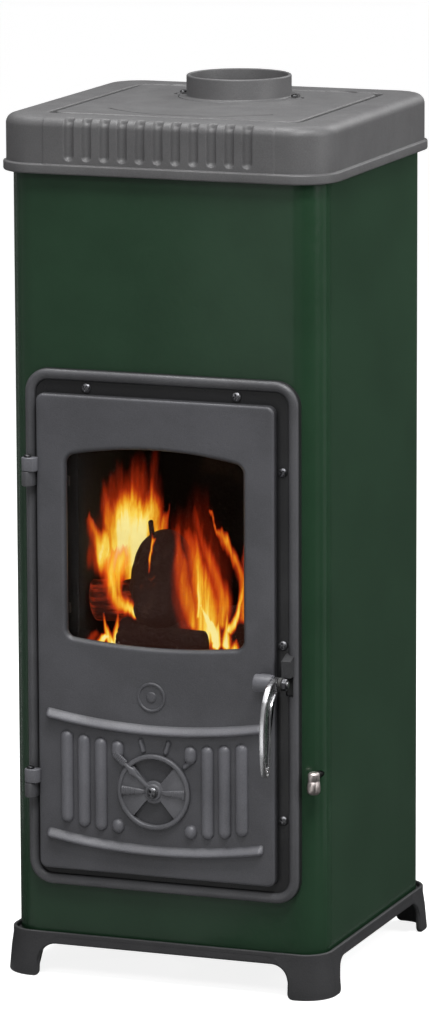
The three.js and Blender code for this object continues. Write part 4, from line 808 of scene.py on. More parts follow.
# %% The cover
flue = np.array([0.0, 101.0])
outline = around(cover_hole, -cover_gap, cover_corner, 10, (44, 44, 44, 44))
spokes = (outline - flue) / np.linalg.norm(outline - flue, axis=1, keepdims=True)
cover_low, recess_z = plate_top - 5, plate_top - 1.6
ear_x, ear_radius, ear_seat = 67.5, 8, 11
recess = rounded_line([(54, cover_low, 0), (54, recess_z, 0.6), (69.2, recess_z, 0.3),
                       (69.4, plate_top, 0.6), (76, plate_top, 0)], 4)
rim = rounded_line([(-4, plate_top, 0), (0, plate_top, 2.0), (0, cover_low, 0.6), (-2, cover_low, 0)], 4)
cover_rings = [level(flue + spokes * r, z) for r, z in recess]
cover_rings += [level(grown(outline, g), z) for g, z in rim]
arc_radius, arc_y = 137.6, 42.6
arc = np.radians(np.linspace(-134.6, -45.4, 61))[:, None]
arc_path = np.array([[0, arc_y]]) + arc_radius * np.hstack([np.cos(arc), np.sin(arc)])
dots = [turned([(0, -2.4), (2.4, -1.6), (2.8, 1), (0, 1)], (*arc_path[k], plate_top), "z", 20)
        for k in (0, -1)]
engraving = prism(stadium(arc_path, 1.1, 4), level, plate_top - 1.5, plate_top + 1, 0.05)
ear_seats = [prism(stadium([(s * 55, flue[1]), (s * ear_x, flue[1])], ear_seat, 12), level,
                   recess_z, plate_top + 1, 0.05) for s in (-1, 1)]
piece("cover_plate", [skin(cover_rings, closed=True)], hood_paint, "stove", ["top_cover"],
      smooth=40, cuts=[engraving, *dots, *ear_seats])

# %% The collar
collar_lo, collar_hi = extent("flue_collar")
collar_low, collar_top = collar_lo[2], collar_hi[2]
bore, tube, flange, flange_z = 56, 60, 68.6, plate_top + 0.2
profile = rounded_line([(bore, collar_low + 1, 0), (bore, collar_top, 1.4), (tube, collar_top, 1.8),
                        (tube, flange_z, 2.2), (flange, flange_z, 0.5), (flange, collar_low, 0.3),
                        (bore, collar_low, 0.3), (bore, collar_low + 1, 0)], 5)[:-1]
ears = [prism(stadium([(s * 62, flue[1]), (s * ear_x, flue[1])], ear_radius, 12), level,
              collar_low, plate_top + 0.25, 0.6) for s in (-1, 1)]
piece("collar_casting", [turned(profile, (*flue, 0), "z", 128, closed=True), *ears], hood_paint, "stove",
      ["flue_collar"], smooth=40)


# %% [markdown]
# ## The door frame
#
# The frame is a flat casting with a raised bead, and its back is hollowed to lie on the casing's
# round corners. Its rings run over the bead, across the flat, into the opening and along the spigot
# that goes through the casing. The bead's section is a sine whose crest leans to the outside.

# %% Frame rings and hinge lugs
frame_box = (-161.5, 164.5, 109.5, 702.5)
frame_face, bead_wide, bead_high, frame_corner = -152.5, 13.0, 5.5, 28.0
opening_box = (-131.5, 124.5, 144.0, 661.0)
frame_steps = (20, 20, 20, 20)


def frame_ring(inset, y):
    """The frame's outline moved inwards, at one depth or at a depth for each point."""
    made = upright(around(frame_box, -inset, max(frame_corner - inset, 8), 12, frame_steps), 0)
    made[:, 1] = y
    return made


def opening_ring(grow, y):
    """The frame's opening, moved outwards."""
    return upright(around(opening_box, grow, 8 + grow, 12, frame_steps), y)


def casing_front(inset):
    """The casing's face behind a frame ring: flat, then the corner's circle, less the running gap."""
    x = np.abs(frame_ring(inset, 0)[:, 0])
    past = np.maximum(x - (casing_half_x - casing_radius), 0)
    return front_y + casing_radius - shut_gap - np.sqrt(casing_radius**2 - past**2)


across = (1 - np.cos(np.linspace(0, np.pi, 17))) / 2
bead = frame_face - bead_high * np.sin(np.pi * across**0.8) ** 0.6
frame_rings = [frame_ring(0, casing_front(0)), frame_ring(0, frame_face + 0.6)]
frame_rings += [frame_ring(bead_wide * t, y) for t, y in zip(across, bead)]
frame_rings += [frame_ring(bead_wide + 0.8, frame_face)]
frame_rings += [opening_ring(g, y) for g, y in
                rounded_line([(3, frame_face, 0), (0, frame_face, 1.2), (0, -144, 0.8), (5, -144, 0.8),
                              (5, front_y - shut_gap, 0)], 4)]
frame_rings += [frame_ring(12.5, casing_front(12.5)), frame_ring(6, casing_front(6))]
hinge = np.array([-153.5, -168.0])
half_turn = np.radians(np.linspace(180, 360, 17))
lug_loop = np.concatenate([hinge + 7 * np.column_stack([np.cos(half_turn), np.sin(half_turn)]),
                           [[hinge[0] + 7, frame_face + 0.5], [hinge[0] - 7, frame_face + 0.5]]])
lug_tops = (586.5, 229.0)
lugs = [prism(lug_loop, level, z - 16.5, z, 1.0) for z in lug_tops]
pocket = rounded_loop(148.5, 158.8, 348.05, 372.05, 1.0, 3)
piece("door_frame_casting", [skin(frame_rings, closed=True)], frame_paint, "stove",
      ["door_frame"], smooth=40, cuts=[prism(pocket, upright, -162, -150.4, 0.05)], whole=lugs)


# %% [markdown]
# ## The door
#
# One casting holds the window, two bowed ribs, upright flutes, the dial's marks, a round medallion and
# the boss for the latch. The plate itself is a set of rings from the window to the edge and back behind.
# The relief lies on it as closed solids that reach a little into the plate, each with its own section,
# because that is how a pattern maker glues relief to a pattern before it is moulded.

# %% The plate with its window
door_box = (-145.5, 138.5, 130.0, 675.0)
door_face, plate_back, door_back, door_corner = -164.0, -158.0, -153.0, 9.0
window_box, window_rise, window_sag, window_corner = (-110.0, 101.5, 400.0, 606.0), 11.5, 7.0, 9.0
door_steps = (28, 28, 28, 28)


def door_ring(inset, y):
    """The door's outline, moved inwards."""
    return upright(around(door_box, -inset, max(door_corner - inset, 2), 12, door_steps), y)


def window_ring(grow, y):
    """The window's outline, moved outwards. Its top and bottom bow by 1 - (x / half width)^2."""
    a, b, c, d = window_box
    x, z = around(window_box, grow, window_corner + grow, 12, door_steps).T
    bow = 1 - ((x - (a + b) / 2) / ((b - a) / 2 + grow)) ** 2
    upper = z > (c + d) / 2
    near = np.abs(z - (c + d) / 2) > (d - c) / 2 - window_corner
    return upright(np.column_stack([x, z + near * bow * np.where(upper, window_rise, -window_sag)]), y)


seal_out, seal_in = 5.0, 13.7
reveal = rounded_line([(0, plate_back, 0), (0, door_face + 3.5, 0.8), (3.5, door_face, 1.5),
                       (7, door_face, 0)], 4)
edge = rounded_line([(7, door_face, 0), (0, door_face, 4.2), (0, door_back, 1.0), (seal_out, door_back, 0.8),
                     (seal_out, plate_back, 1.0), (8, plate_back, 0)], 6)
door_rings = [window_ring(g, y) for g, y in reveal] + [door_ring(i, y) for i, y in edge]
low_rim = rounded_line([(seal_in, plate_back - 1, 0), (seal_in, door_back - 0.3, 0.6),
                        (seal_in + 3, door_back - 0.3, 0.6), (seal_in + 3, plate_back - 1, 0)], 3)
inner_rim = skin([door_ring(i, y) for i, y in low_rim], closed=True)
print("door plate", len(door_rings), "rings")


# %% Ribs, flutes, marks and medallion
def bowed_rib(top, left=-134.5, right=125.5, width=13.0, height=8.2, sag=12.0):
    """A rib whose top line is top + sag u^2. Its section rises slowly from above and falls steeply
    below, and near each end it shrinks as sqrt(1 - d^2)."""
    u = np.sin(np.linspace(-np.pi / 2, np.pi / 2, 73))
    middle, half = (left + right) / 2, (right - left) / 2
    from_end = half * (1 - np.abs(u))
    lift = np.sqrt(np.clip(1 - (1 - np.minimum(from_end / 4.5, 1)) ** 2, 0.02, 1))
    down = np.array([0, 0.03, 0.08, 0.22, 0.38, 0.5, 0.57, 0.63, 0.69, 0.75, 0.81, 0.88, 0.95, 1.0])
    out = np.array([0, 0.06, 0.19, 0.46, 0.74, 0.92, 0.98, 1.0, 0.97, 0.85, 0.6, 0.28, 0.07, 0.0])
    narrow = 0.55 + 0.45 * lift
    x = middle + u * half
    z = (top + sag * u**2)[:, None] - width * (0.5 + (down[None] - 0.5) * narrow[:, None])
    y = door_face - height * out[None] * lift[:, None]
    section = np.stack([np.broadcast_to(x[:, None], z.shape), y, z], -1)
    under = section[:, [-1, 0]] + np.array([0, 1.2, 0])
    return skin(np.concatenate([section, under], 1))


def raised(path, width, t, rise):
    """A closed bump on the door's face round a path: at a share t of its half width it has a rise."""
    return skin([upright(stadium(path, width / 2 * s, 12), door_face - r) for s, r in zip(t, rise)])


def mark(path, width=7.4, height=3.0):
    """A mark of the dial, which stands height (1 - t^3)^1.6."""
    t = np.array([1.04, 1.0, 0.93, 0.84, 0.74, 0.62, 0.5, 0.37, 0.24, 0.12, 0.02])
    rise = height * np.clip(1 - t**3.0, 0, 1) ** 1.6
    rise[0] = -1.0
    return raised(path, width, t, rise)


def flute(path, width=15.5, height=6.2):
    """A flute with a round back, which stands height (1 - t^2)^0.6, eased to nothing at its foot."""
    t = np.concatenate([[1.06], np.linspace(1.03, 0.9, 6), np.linspace(0.82, 0.5, 6), [0.33, 0.18, 0.02]])
    rise = height * (1 - np.minimum(t, 0.985) ** 2) ** 0.6 * ramp(-t, -1.03, -0.9)
    rise[0] = -1.0
    return raised(path, width, t, rise)


dial = np.array([-5.0, 229.0])
flute_columns, flute_pitch, flute_inner = 4, 20.4, 43.7
flute_low, flute_high, flute_spread, dial_clear = 177.0, 284.0, 8.5, 57.0


def flute_paths():
    """Upright lines either side of the dial. The ones that would meet it stop short of its circle."""
    paths = []
    for side in (-1, 1):
        for k in range(flute_columns):
            out = flute_inner + flute_pitch * k
            x = dial[0] + side * out
            share = out / (flute_inner + flute_pitch * (flute_columns - 1))
            low, high = flute_low + flute_spread * share**3 + 8, flute_high + flute_spread * share**2 - 8
            clear = math.sqrt(max(0, dial_clear**2 - out**2))
            split = [(low, dial[1] - clear - 6), (dial[1] + clear + 6, high)]
            stops = split if clear > 10 else [(low, high)]
            paths += [[(x, a), (x, b)] for a, b in stops if b - a > 0.5]
    return paths


def at_dial(radius, degrees):
    """A place at a radius and an angle from the dial's centre."""
    return dial + radius * np.array([math.cos(math.radians(degrees)), math.sin(math.radians(degrees))])


marks = [mark([at_dial(48.5, a), at_dial(59.5, a)]) for a in (105.5, 73.0, 40.5)]
medal = np.array([-8.0, 337.0])
disc = [(0, -1), (17.2, -1), (17.2, 0), *bend((17.2, 0.2), (17.0, 1.6), (15.6, 1.6), 4),
        *bend((14.6, 1.6), (14.0, 1.5), (13.6, 0.35), 4), (9.5, 0.2),
        *bend((6.4, 0.3), (6.0, 1.2), (4.6, 1.5), 4), (2.4, 1.65), (0, 1.7)]
medallion = turned(disc, (medal[0], door_face, medal[1]), "front", 64)
print(len(flute_paths()), "flutes and", len(marks), "marks")

# %% Latch boss and hinge lugs
shaft_y, shaft_z, boss_left, boss_right = -176.0, 366.0, 120.0, 141.7
boss_line = rounded_line([(2, boss_left, 0), (10, boss_left, 1.6), (10, boss_right, 0.6),
                          (2, boss_right, 0)], 4)
boss = turned([(0, boss_left), *boss_line, (0, boss_right)], (0, shaft_y, shaft_z), "x", 48)
web = prism(rounded_loop(123, 135.5, shaft_y, door_face + 3, 0.5, 2), level, shaft_z - 9, shaft_z + 8.5, 1.2)
quarter = np.radians(np.linspace(90, 270, 17))
leaf = np.concatenate([hinge + 7 * np.column_stack([np.cos(quarter), np.sin(quarter)]),
                       [[-145.2, hinge[1] - 7], [-142.5, hinge[1] - 3], [-142.5, hinge[1] + 7]]])
leaves = [prism(leaf, level, z + 0.6, z + 16.1, 1.0) for z in lug_tops]


def sector(inner, outer, half, middle, parts=20):
    """A ring sector round the dial, as a loop: out along one arc and back along the other."""
    t = np.radians(middle + np.linspace(-half, half, parts + 1))[:, None]
    way = np.hstack([np.cos(t), np.sin(t)])
    return np.concatenate([dial + outer * way, dial + inner * way[::-1]])


clip_bosses, stub = [], [(0, 0), (4.3, 0), (4.3, 6.3), (0, 6.3)]
for k in (1, 2, 3, 4):
    lo, hi = extent(f"clip_screw_{k}")
    spot = (lo + hi) / 2
    clip_bosses.append(turned(stub, (spot[0], plate_back - 0.5, spot[2]), "back", 24))
air_holes = [prism(sector(13, 35, 38, a), upright, door_face - 3, plate_back + 3, 0.05)
             for a in (-3.75, 176.25)]
wells = [prism(sector(12, 38.4, 42, a, 40), upright, door_face - 3, door_face + 1.8, 0.05)
         for a in (88, 268)]
piece(
    "door_casting", [skin(door_rings, closed=True)], door_paint, "door", ["door"], smooth=40,
    cuts=air_holes + wells,
    whole=[inner_rim, bowed_rib(305.3), bowed_rib(166.5), medallion, boss, web, *leaves, *marks,
           *clip_bosses, *[flute(p) for p in flute_paths()]])


# %% [markdown]
# ## The air rosette
#
# The rosette turns over two openings in the door. It is a raised ring, two solid quarters between
# the open ones, a hub, two finger grips across it and a pointer that ends in a ribbed tab over the
# marks. Grips and pointer are drawn in a straight strip along the x axis and then turned to their
# angle, which is how a dial is laid out on a drawing board.

# %% Parts of the rosette
rosette_back, rosette_face = door_face - 0.3, door_face - 3.3


def turned_strip(stations, degrees, back):
    """A bar along a spoke through (radius, half width, front) stations. Its section is half a
    superellipse, front (1 - |t|^3)^(1/3), and it reaches back to a plane."""
    r, half, front = np.asarray(stations, float).T
    t = np.sin(np.linspace(-np.pi / 2, np.pi / 2, 13))
    lift = (1 - np.abs(t) ** 3) ** (1 / 3)
    across = half[:, None] * t[None]
    y = back + (front - back)[:, None] * (0.45 + 0.55 * lift)[None]
    bottom = np.stack([across[:, [-1, 0]], np.full((len(r), 2), back)], -1)
    section = np.concatenate([np.stack([across, y], -1), bottom], 1)
    turn = math.radians(degrees)
    along = np.array([math.cos(turn), math.sin(turn)])
    aside = np.array([-math.sin(turn), math.cos(turn)])
    plan = dial + r[:, None, None] * along + section[..., :1] * aside
    return skin(np.stack([plan[..., 0], section[..., 1], plan[..., 1]], -1))


ring = rounded_line([(38.0, -0.1, 0), (43.5, -0.1, 0.3), (43.5, 5.0, 2.2), (38.6, 5.0, 2.0),
                     (38.0, 2.6, 0)], 6)
rim_ring = turned(ring, (dial[0], rosette_back, dial[1]), "front", 128, closed=True)
quarters = [prism(sector(12, 39.5, 50, a, 40), upright, rosette_face, rosette_back - 0.05, 0.5)
            for a in (0, 180)]
hub_profile = [(0, 0), (13, 0), *bend((13, 2.4), (13, 3), (12.3, 3), 3), (10.4, 3.1),
               *bend((9.7, 3.3), (9.5, 5.4), (7.4, 5.5), 5), (0, 5.5)]
hub = turned(hub_profile, (dial[0], rosette_back, dial[1]), "front", 64)
ridge_high, ridge_pitch, ridge_start = 0.28, 2.6, 21
r = np.concatenate([[10.5], np.linspace(13, 37.4, 67), [38.2]])
ripple = np.where(r > ridge_start, ridge_high * np.cos((r - ridge_start) * 2 * np.pi / ridge_pitch),
                  ridge_high)
tall = rosette_face - (1.6 + 2.4 * (r - 10) / 28) - ripple
tall[[0, -1]] = rosette_face - 0.8
grips = [turned_strip(np.column_stack([r, 2.4 + 3.0 * (r - 10) / 28, tall]), a, rosette_back - 1)
         for a in (0, 180)]
tab_back, tab_front = door_face - 3.1, door_face - 6.7
pointer_turn = 138
arm = turned_strip([(8, 2.0, tab_front + 1.8), (11, 2.2, tab_front + 0.9), (24, 1.9, tab_front + 0.6),
                    (27, 2.0, tab_front + 0.4), (31, 3.9, tab_front + 0.1), (34, 4.3, tab_front),
                    (38, 3.0, tab_front), (41, 2.2, tab_front), (47, 2.2, tab_front + 0.2)],
                   pointer_turn, rosette_face + 1)
r = np.concatenate([[45.6], np.linspace(46.2, 61.5, 60), [62.0]])
ripple = 0.3 * np.cos((r - 46) * 2 * np.pi / 2.2)
tab = turned_strip(np.column_stack([r, np.full(len(r), 4.0), tab_front + 0.3 - ripple]), pointer_turn,
                   tab_back)
piece("rosette_casting", [rim_ring, *quarters, hub, *grips, arm, tab], rosette_paint, "rosette",
      ["air_rosette"], smooth=38)


# %% [markdown]
# ## Screws, pins and nuts
#
# All the screws are one kind, a pan head with a cross recess, so the head is made once. It is a turned
# profile with two crossed slots cut into it. Each screw is a copy of its mesh, scaled and turned to its
# seat, with its slots at an angle of its own, because no two screws stop at the same angle.

# %% A cross-head screw as a template
head = [(0, 0), (1.0, 0), (1.0, 0.14), *bend((1.0, 0.22), (0.86, 0.56), (0.4, 0.6), 7), (0, 0.61)]
blank = in_scene("screw_blank", new_mesh("screw_blank", [turned(head, (0, 0, 0), "z", 32)], 40))
for a, b in ((0.68, 0.2), (0.2, 0.68)):
    carve(blank, prism(np.array([[-a, -b], [a, -b], [a, b], [-a, b]]), level, 0.05, 0.8, 0.01), 40)
screw_mesh = blank.data
bpy.data.objects.remove(blank)


def screw(node, axis, body, finish, turn, larger=1.0):
    """A copy of the head over a CAD screw, with its slots at an angle. Axis is 1, 2 or 3, and negative
    to face the other way."""
    lo, hi = extent(node)
    k = abs(axis) - 1
    radius = (hi - lo)[[i for i in range(3) if i != k]].min() / 2
    rise = 0.6 * radius
    place, facing = (lo + hi) / 2, [0, 0, 0]
    place[k] = hi[k] - rise if axis > 0 else lo[k] + rise
    facing[k] = 1 if axis > 0 else -1
    size = radius * larger
    mesh = screw_mesh.copy()
    mesh.name = node + "_head"
    way = Vector(facing).to_track_quat("Z", "Y").to_matrix().to_4x4()
    mesh.transform(Matrix.Translation(Vector(place) * MM) @ way @ Matrix.Rotation(math.radians(turn), 4, "Z")
                   @ Matrix.Diagonal((size, size, size, 1)))
    dressed(in_scene(node + "_head", mesh), finish, body, [node])


for k in range(1, 6):
    screw(f"frame_screw_{k}", -2, "stove", screw_steel, 17 + 41 * k, 1.25)
for k in (1, 2):
    screw(f"collar_screw_{k}", 3, "stove", dark_steel, 29 * k)
for k in (1, 2, 3, 4):
    screw(f"clip_screw_{k}", 2, "door", steel, 37 * k)
    screw(f"rear_screw_{k}", 2, "stove", steel, 53 * k)
screw("rosette_screw", -2, "rosette", screw_steel, 38, 1.2)

# %% Hinge pins with domed heads
for node in ("hinge_pin_upper", "hinge_pin_lower"):
    lo, hi = extent(node)
    pin = [(0, lo[2]), (2.4, lo[2]), (3.0, lo[2] + 0.6), (3.0, hi[2] - 3.0), (4.4, hi[2] - 3.0),
           *bend((4.4, hi[2] - 2.2), (4.4, hi[2]), (0.6, hi[2]), 7), (0, hi[2])]
    piece(node + "_turned", [turned(pin, (*hinge, 0), "z", 32)], dark_steel, "stove", [node],
          smooth=50)


# %% [markdown]
# ## Latch and shaker knob
#
# The lever is a flat chromed forging with a raised rim, and light runs along that rim as one thin
# line. Its two edges are smooth curves through a few points, given as shares of its reach forwards and
# of its drop below the shaft. The rings of its skin start on the left face, turn over the edge to the
# rim on the right face, and go down into the pocket. The knob at the side is turned.

# %% Lever
lever_lo, lever_hi = extent("latch_handle")
lever_reach, lever_drop, lever_rim, lever_pocket, hub_radius = 47.5, 99.0, 3.0, 1.9, 8.2
front_edge = [(0.06, -0.083), (0.24, -0.075), (0.56, -0.01), (0.8, 0.12), (0.92, 0.26), (0.98, 0.41),
              (1, 0.6), (0.97, 0.77), (0.9, 0.92), (0.82, 0.985), (0.74, 1)]
back_edge = [(0.66, 0.97), (0.61, 0.88), (0.57, 0.76), (0.535, 0.6), (0.515, 0.45), (0.5, 0.33),
             (0.42, 0.22), (0.24, 0.14), (0.02, 0.083)]


def through(points, parts=7):
    """A Catmull-Rom curve: between b and c it is half of 2b + (c - a) t + (2a - 5b + 4c - d) t^2
    + (3b - a - 3c + d) t^3, with the point before, a, and the point after, d."""
    p = np.asarray(points, float)
    p = np.concatenate([2 * p[:1] - p[1:2], p, 2 * p[-1:] - p[-2:-1]])
    t = np.linspace(0, 1, parts, endpoint=False)[:, None]
    made = [0.5 * (2 * b + (c - a) * t + (2 * a - 5 * b + 4 * c - d) * t**2 + (3 * b - a - 3 * c + d) * t**3)
            for a, b, c, d in zip(p, p[1:], p[2:], p[3:])]
    return np.concatenate(made + [p[-2:-1]])


def even(loop, count):
    """The same closed loop with points at equal steps along it."""
    closed = np.concatenate([loop, loop[:1]])
    run = np.concatenate([[0], np.cumsum(np.linalg.norm(np.diff(closed, axis=0), axis=1))])
    at = np.linspace(0, run[-1], count, endpoint=False)
    return np.column_stack([np.interp(at, run, closed[:, k]) for k in (0, 1)])


shares = np.concatenate([through(front_edge, 40), through(back_edge, 40)])
shaft = np.array([shaft_y, shaft_z])
lever_loop = even(shaft - shares * [lever_reach, lever_drop], 240)
eye = shaft - np.array([0.78, 0.91]) * [lever_reach, lever_drop]
left_x, right_x = lever_lo[0], lever_hi[0]
floor_x = right_x - lever_pocket
section = rounded_line([(-4, left_x, 0), (0, left_x, 1.3), (0, right_x, 1.3), (-lever_rim, right_x, 0.5),
                        (-lever_rim - 0.4, floor_x, 0.5), (-lever_rim - 1.6, floor_x, 0)], 4)
hub_line = rounded_line([(0, left_x, 0), (hub_radius, left_x, 1.0), (hub_radius, right_x, 1.0),
                         (0, right_x, 0)], 4)
eye_line = rounded_line([(2.0, floor_x - 1, 0), (2.0, right_x - 0.2, 0.5), (3.8, right_x - 0.2, 0.6),
                         (3.8, floor_x - 1, 0)], 3)
piece("lever", [skin([sideways(grown(lever_loop, o), x) for o, x in section]),
                turned(hub_line, (0, *shaft), "x", 48), turned(eye_line, (0, *eye), "x", 32, closed=True)],
      chrome, "latch", ["latch_handle"], smooth=50)

# %% Cam, shaft, nuts and knob
softened("latch_cam", black_cast, "latch", 0.6)
softened("latch_shaft", steel, "latch", 0.8)
softened("latch_nut", screw_steel, "latch", 0.7)
softened("latch_keeper", base_paint, "stove", 0.9)
softened("rosette_nut", steel, "rosette", 0.5)
knob_lo, knob_hi = extent("riddling_knob")
k_low, k_high, k_r = knob_lo[2], knob_hi[2], (knob_hi[0] - knob_lo[0]) / 2
k_place = ((knob_lo[0] + knob_hi[0]) / 2, (knob_lo[1] + knob_hi[1]) / 2, 0)
knob = [(0, k_low), *bend((2.5, k_low), (k_r, k_low), (k_r, k_low + 6.5), 9), (k_r, k_low + 9),
        (k_r - 0.9, k_high - 11), (k_r - 1.4, k_high - 10.4), (k_r - 1.4, k_high - 9.8),
        (k_r - 0.9, k_high - 9.2), *bend((k_r - 0.9, k_high - 3), (k_r - 1, k_high), (3.5, k_high), 8),
        (0, k_high)]
# The knob's metal carries a painted warm reflection.
piece("knob_turned", [turned(knob, k_place, "z", 64)], knob_metal_painted_reflection, "grate", ["riddling_knob"],
      smooth=50)


# %% [markdown]
# ## Rope seals
#
# A stove door closes on a glass-fibre rope. Its section is an ellipse that carries three strands: the
# radius swells by cos 3(a - turn), and the turn grows along the loop, so that the strands wind. The
# hoop is the door's outline moved in and out by the section, with the swell added point by point.

# %% Twisted hoops
def rope_hoop(outline, middle_y, wide, deep, pitch, strands=3, sides=16, swell=0.13):
    """A rope round a loop of (x, z) points, which lies at middle_y. Moved by wide cos a across and
    deep sin a along y, both times 1 + swell cos(strands a - 2 pi s / pitch)."""
    run = np.linalg.norm(np.roll(outline, -1, 0) - outline, axis=1)
    s = np.concatenate([[0], np.cumsum(run)[:-1]])
    turns = max(1, round(run.sum() / pitch))
    phase = 2 * np.pi * turns * s / run.sum()
    rings = []
    for a in np.linspace(0, 2 * np.pi, sides, endpoint=False):
        swollen = 1 - swell + swell * np.cos(strands * a - phase)
        moved = grown(outline, (wide * np.cos(a) * swollen)[:, None])
        rings.append(np.column_stack([moved[:, 0], middle_y + deep * np.sin(a) * swollen, moved[:, 1]]))
    return skin(rings, closed=True)


seal_lo, seal_hi = extent("door_seal")
seal_gap = 0.3
seal_wide, seal_deep = (seal_in - seal_out) / 2 - seal_gap, (seal_hi[1] - seal_lo[1]) / 2
seal_path = around(door_box, -(seal_out + seal_gap + seal_wide), 7.0, 14, (150, 80, 150, 80))
piece("door_rope", [rope_hoop(seal_path, (seal_hi[1] + seal_lo[1]) / 2, seal_wide, seal_deep, 17)], rope,
      "door", ["door_seal"], smooth=60)
tape_lo, tape_hi = extent("glass_seal")
tape_reach, tape_wide = 6.2, 2.4
glass_path = window_ring(tape_reach, 0)[:, [0, 2]]
tape_middle, tape_deep = (tape_lo[1] + tape_hi[1]) / 2, (tape_hi[1] - tape_lo[1]) / 2
tape = rope_hoop(glass_path, tape_middle, tape_wide, tape_deep, 9, 2, 10)
piece("glass_rope", [tape], rope, "door", ["glass_seal"], smooth=60)


# %% [markdown]
# ## The hidden parts
#
# Behind the door are the linings, the grate with its frame, the ash pan and the sheet metal round
# them. They are plain castings and folded sheet, so their working shapes are used as they are, with
# their edges rounded and a finish for each.

# %% Rounded copies of the working parts
for node, paint, body, slot, edge in (
        ("lining_left", lining, "stove", "firebrick", 1.5),
        ("lining_right", lining, "stove", "firebrick", 1.5),
        ("lining_rear", lining, "stove", "firebrick", 1.5),
        ("fuel_retainer", black_cast, "stove", "cast_black", 1.2),
        ("baffle_plate", black_cast, "stove", "cast_black", 1.5),
        ("grate", black_cast, "grate", "cast_black", 1.2),
        ("grate_frame", black_cast, "stove", "cast_black", 1.0),
        ("ash_pan", black_sheet, "ash_pan", "sheet_black", 0.4),
        ("ash_pan_handle", black_sheet, "ash_pan", "sheet_black", 0.5),
        ("rear_panel", black_sheet, "stove", "sheet_black", 0.3),
        ("riddling_rod", dark_steel, "grate", "steel", 0.5)):
    softened(node, paint, body, edge)
for paint, nodes in (
        (black_cast, ("firebox_front", "firebox_left", "firebox_right", "firebox_rear")),
        (black_sheet, ("ash_floor", "base_plate", "glass_clip_1", "glass_clip_2", "glass_clip_3",
                       "glass_clip_4")),
        (glass, ("window_glass",))):
    for node in nodes:
        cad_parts[node].data.materials.clear()
        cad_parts[node].data.materials.append(paint)


# %% [markdown]
# ## The fire
#
# The fire is part of the scene's story, so it gets real logs, stacked from the grate upwards, and flames.
# A flame is a bright skin of gas with no thickness worth modelling. It is made here as two upright
# sheets, one behind the standing log and one in front. Each point carries a heat, which is kept as the
# first number of its UV pair. The shader turns heat into colour, from clear through deep red, orange
# and yellow to nearly white.

# %% Smooth noise for the flames, worked out on whole arrays
def lattice_noise(x, z, seed):
    """Value noise: random numbers at whole-number places, mixed in between with t t (3 - 2 t)."""
    table = np.random.default_rng(seed).random((64, 64))
    i, j = np.floor(x).astype(int), np.floor(z).astype(int)
    u, v = x - i, z - j
    u, v = u * u * (3 - 2 * u), v * v * (3 - 2 * v)
    corner = lambda a, b: table[(i + a) % 64, (j + b) % 64]
    row = lambda b: corner(0, b) * (1 - u) + corner(1, b) * u
    return row(0) * (1 - v) + row(1) * v


def layered(x, z, seed, layers=4):
    """Noise in layers, each half as strong and twice as fine as the one before, from -1 to 1."""
    total = sum(lattice_noise(x * 2**k, z * 2**k, seed + k) / 2**k for k in range(layers))
    return 2 * total / sum(1 / 2**k for k in range(layers)) - 1


def tongue(x, z, path, wide, heat):
    """The heat of one tongue: the nearest place on each stretch of its line has a half width and a
    heat mixed from the stretch's ends, and the heat falls across the tongue as (1 - d^2)^1.5, where d
    is the distance as a share of the half width. The hottest stretch counts."""
    found = np.zeros(x.shape)
    for k in range(len(path) - 1):
        a, ahead = path[k], path[k + 1] - path[k]
        t = np.clip(((x - a[0]) * ahead[0] + (z - a[1]) * ahead[1]) / (ahead @ ahead), 0, 1)
        d = np.hypot(x - a[0] - t * ahead[0], z - a[1] - t * ahead[1])
        share = d / (wide[k] + t * (wide[k + 1] - wide[k]))
        here = (heat[k] + t * (heat[k + 1] - heat[k])) * np.clip(1 - share**2, 0, 1) ** 1.5
        found = np.maximum(found, here)
    return found


# %% The tongues of both sheets: path in x and z, half widths, heats
rear_tongues = [
    ([(-96, 440), (-88, 478), (-80, 512), (-72, 548)], (7, 20, 25, 12), (0.6, 0.98, 0.98, 0.4)),
    ([(-76, 440), (-68, 482), (-62, 516), (-56, 552)], (8, 20, 21, 10), (0.6, 0.98, 0.94, 0.36)),
    ([(-80, 500), (-72, 540), (-64, 585)], (34, 26, 8), (0.66, 0.4, 0.1)),
    ([(-98, 455), (-107, 480), (-116, 499), (-130, 520)], (9, 13, 9, 2), (0.75, 0.85, 0.6, 0.3)),
    ([(-97, 500), (-100, 534), (-106, 560)], (14, 10, 3), (0.6, 0.34, 0.06)),
    ([(-84, 520), (-84, 545), (-90, 572)], (14, 9, 3), (0.7, 0.36, 0.08)),
    ([(-64, 520), (-66, 552), (-70, 584)], (13, 9, 4), (0.7, 0.34, 0.08)),
    ([(-56, 510), (-50, 556), (-46, 612)], (13, 9, 5), (0.6, 0.26, 0.05)),
    ([(-52, 480), (-42, 502), (-26, 524)], (13, 9, 2), (0.85, 0.6, 0.25)),
    ([(-46, 500), (-45, 530), (-38, 562)], (11, 7, 2), (0.66, 0.3, 0.06)),
    ([(-126, 464), (-108, 472), (-92, 472)], (15, 16, 12), (0.3, 0.4, 0.46)),
    ([(-14, 440), (0, 500), (8, 556)], (30, 26, 10), (0.26, 0.24, 0.05)),
    ([(24, 430), (22, 490), (14, 546)], (26, 22, 9), (0.26, 0.22, 0.05)),
]
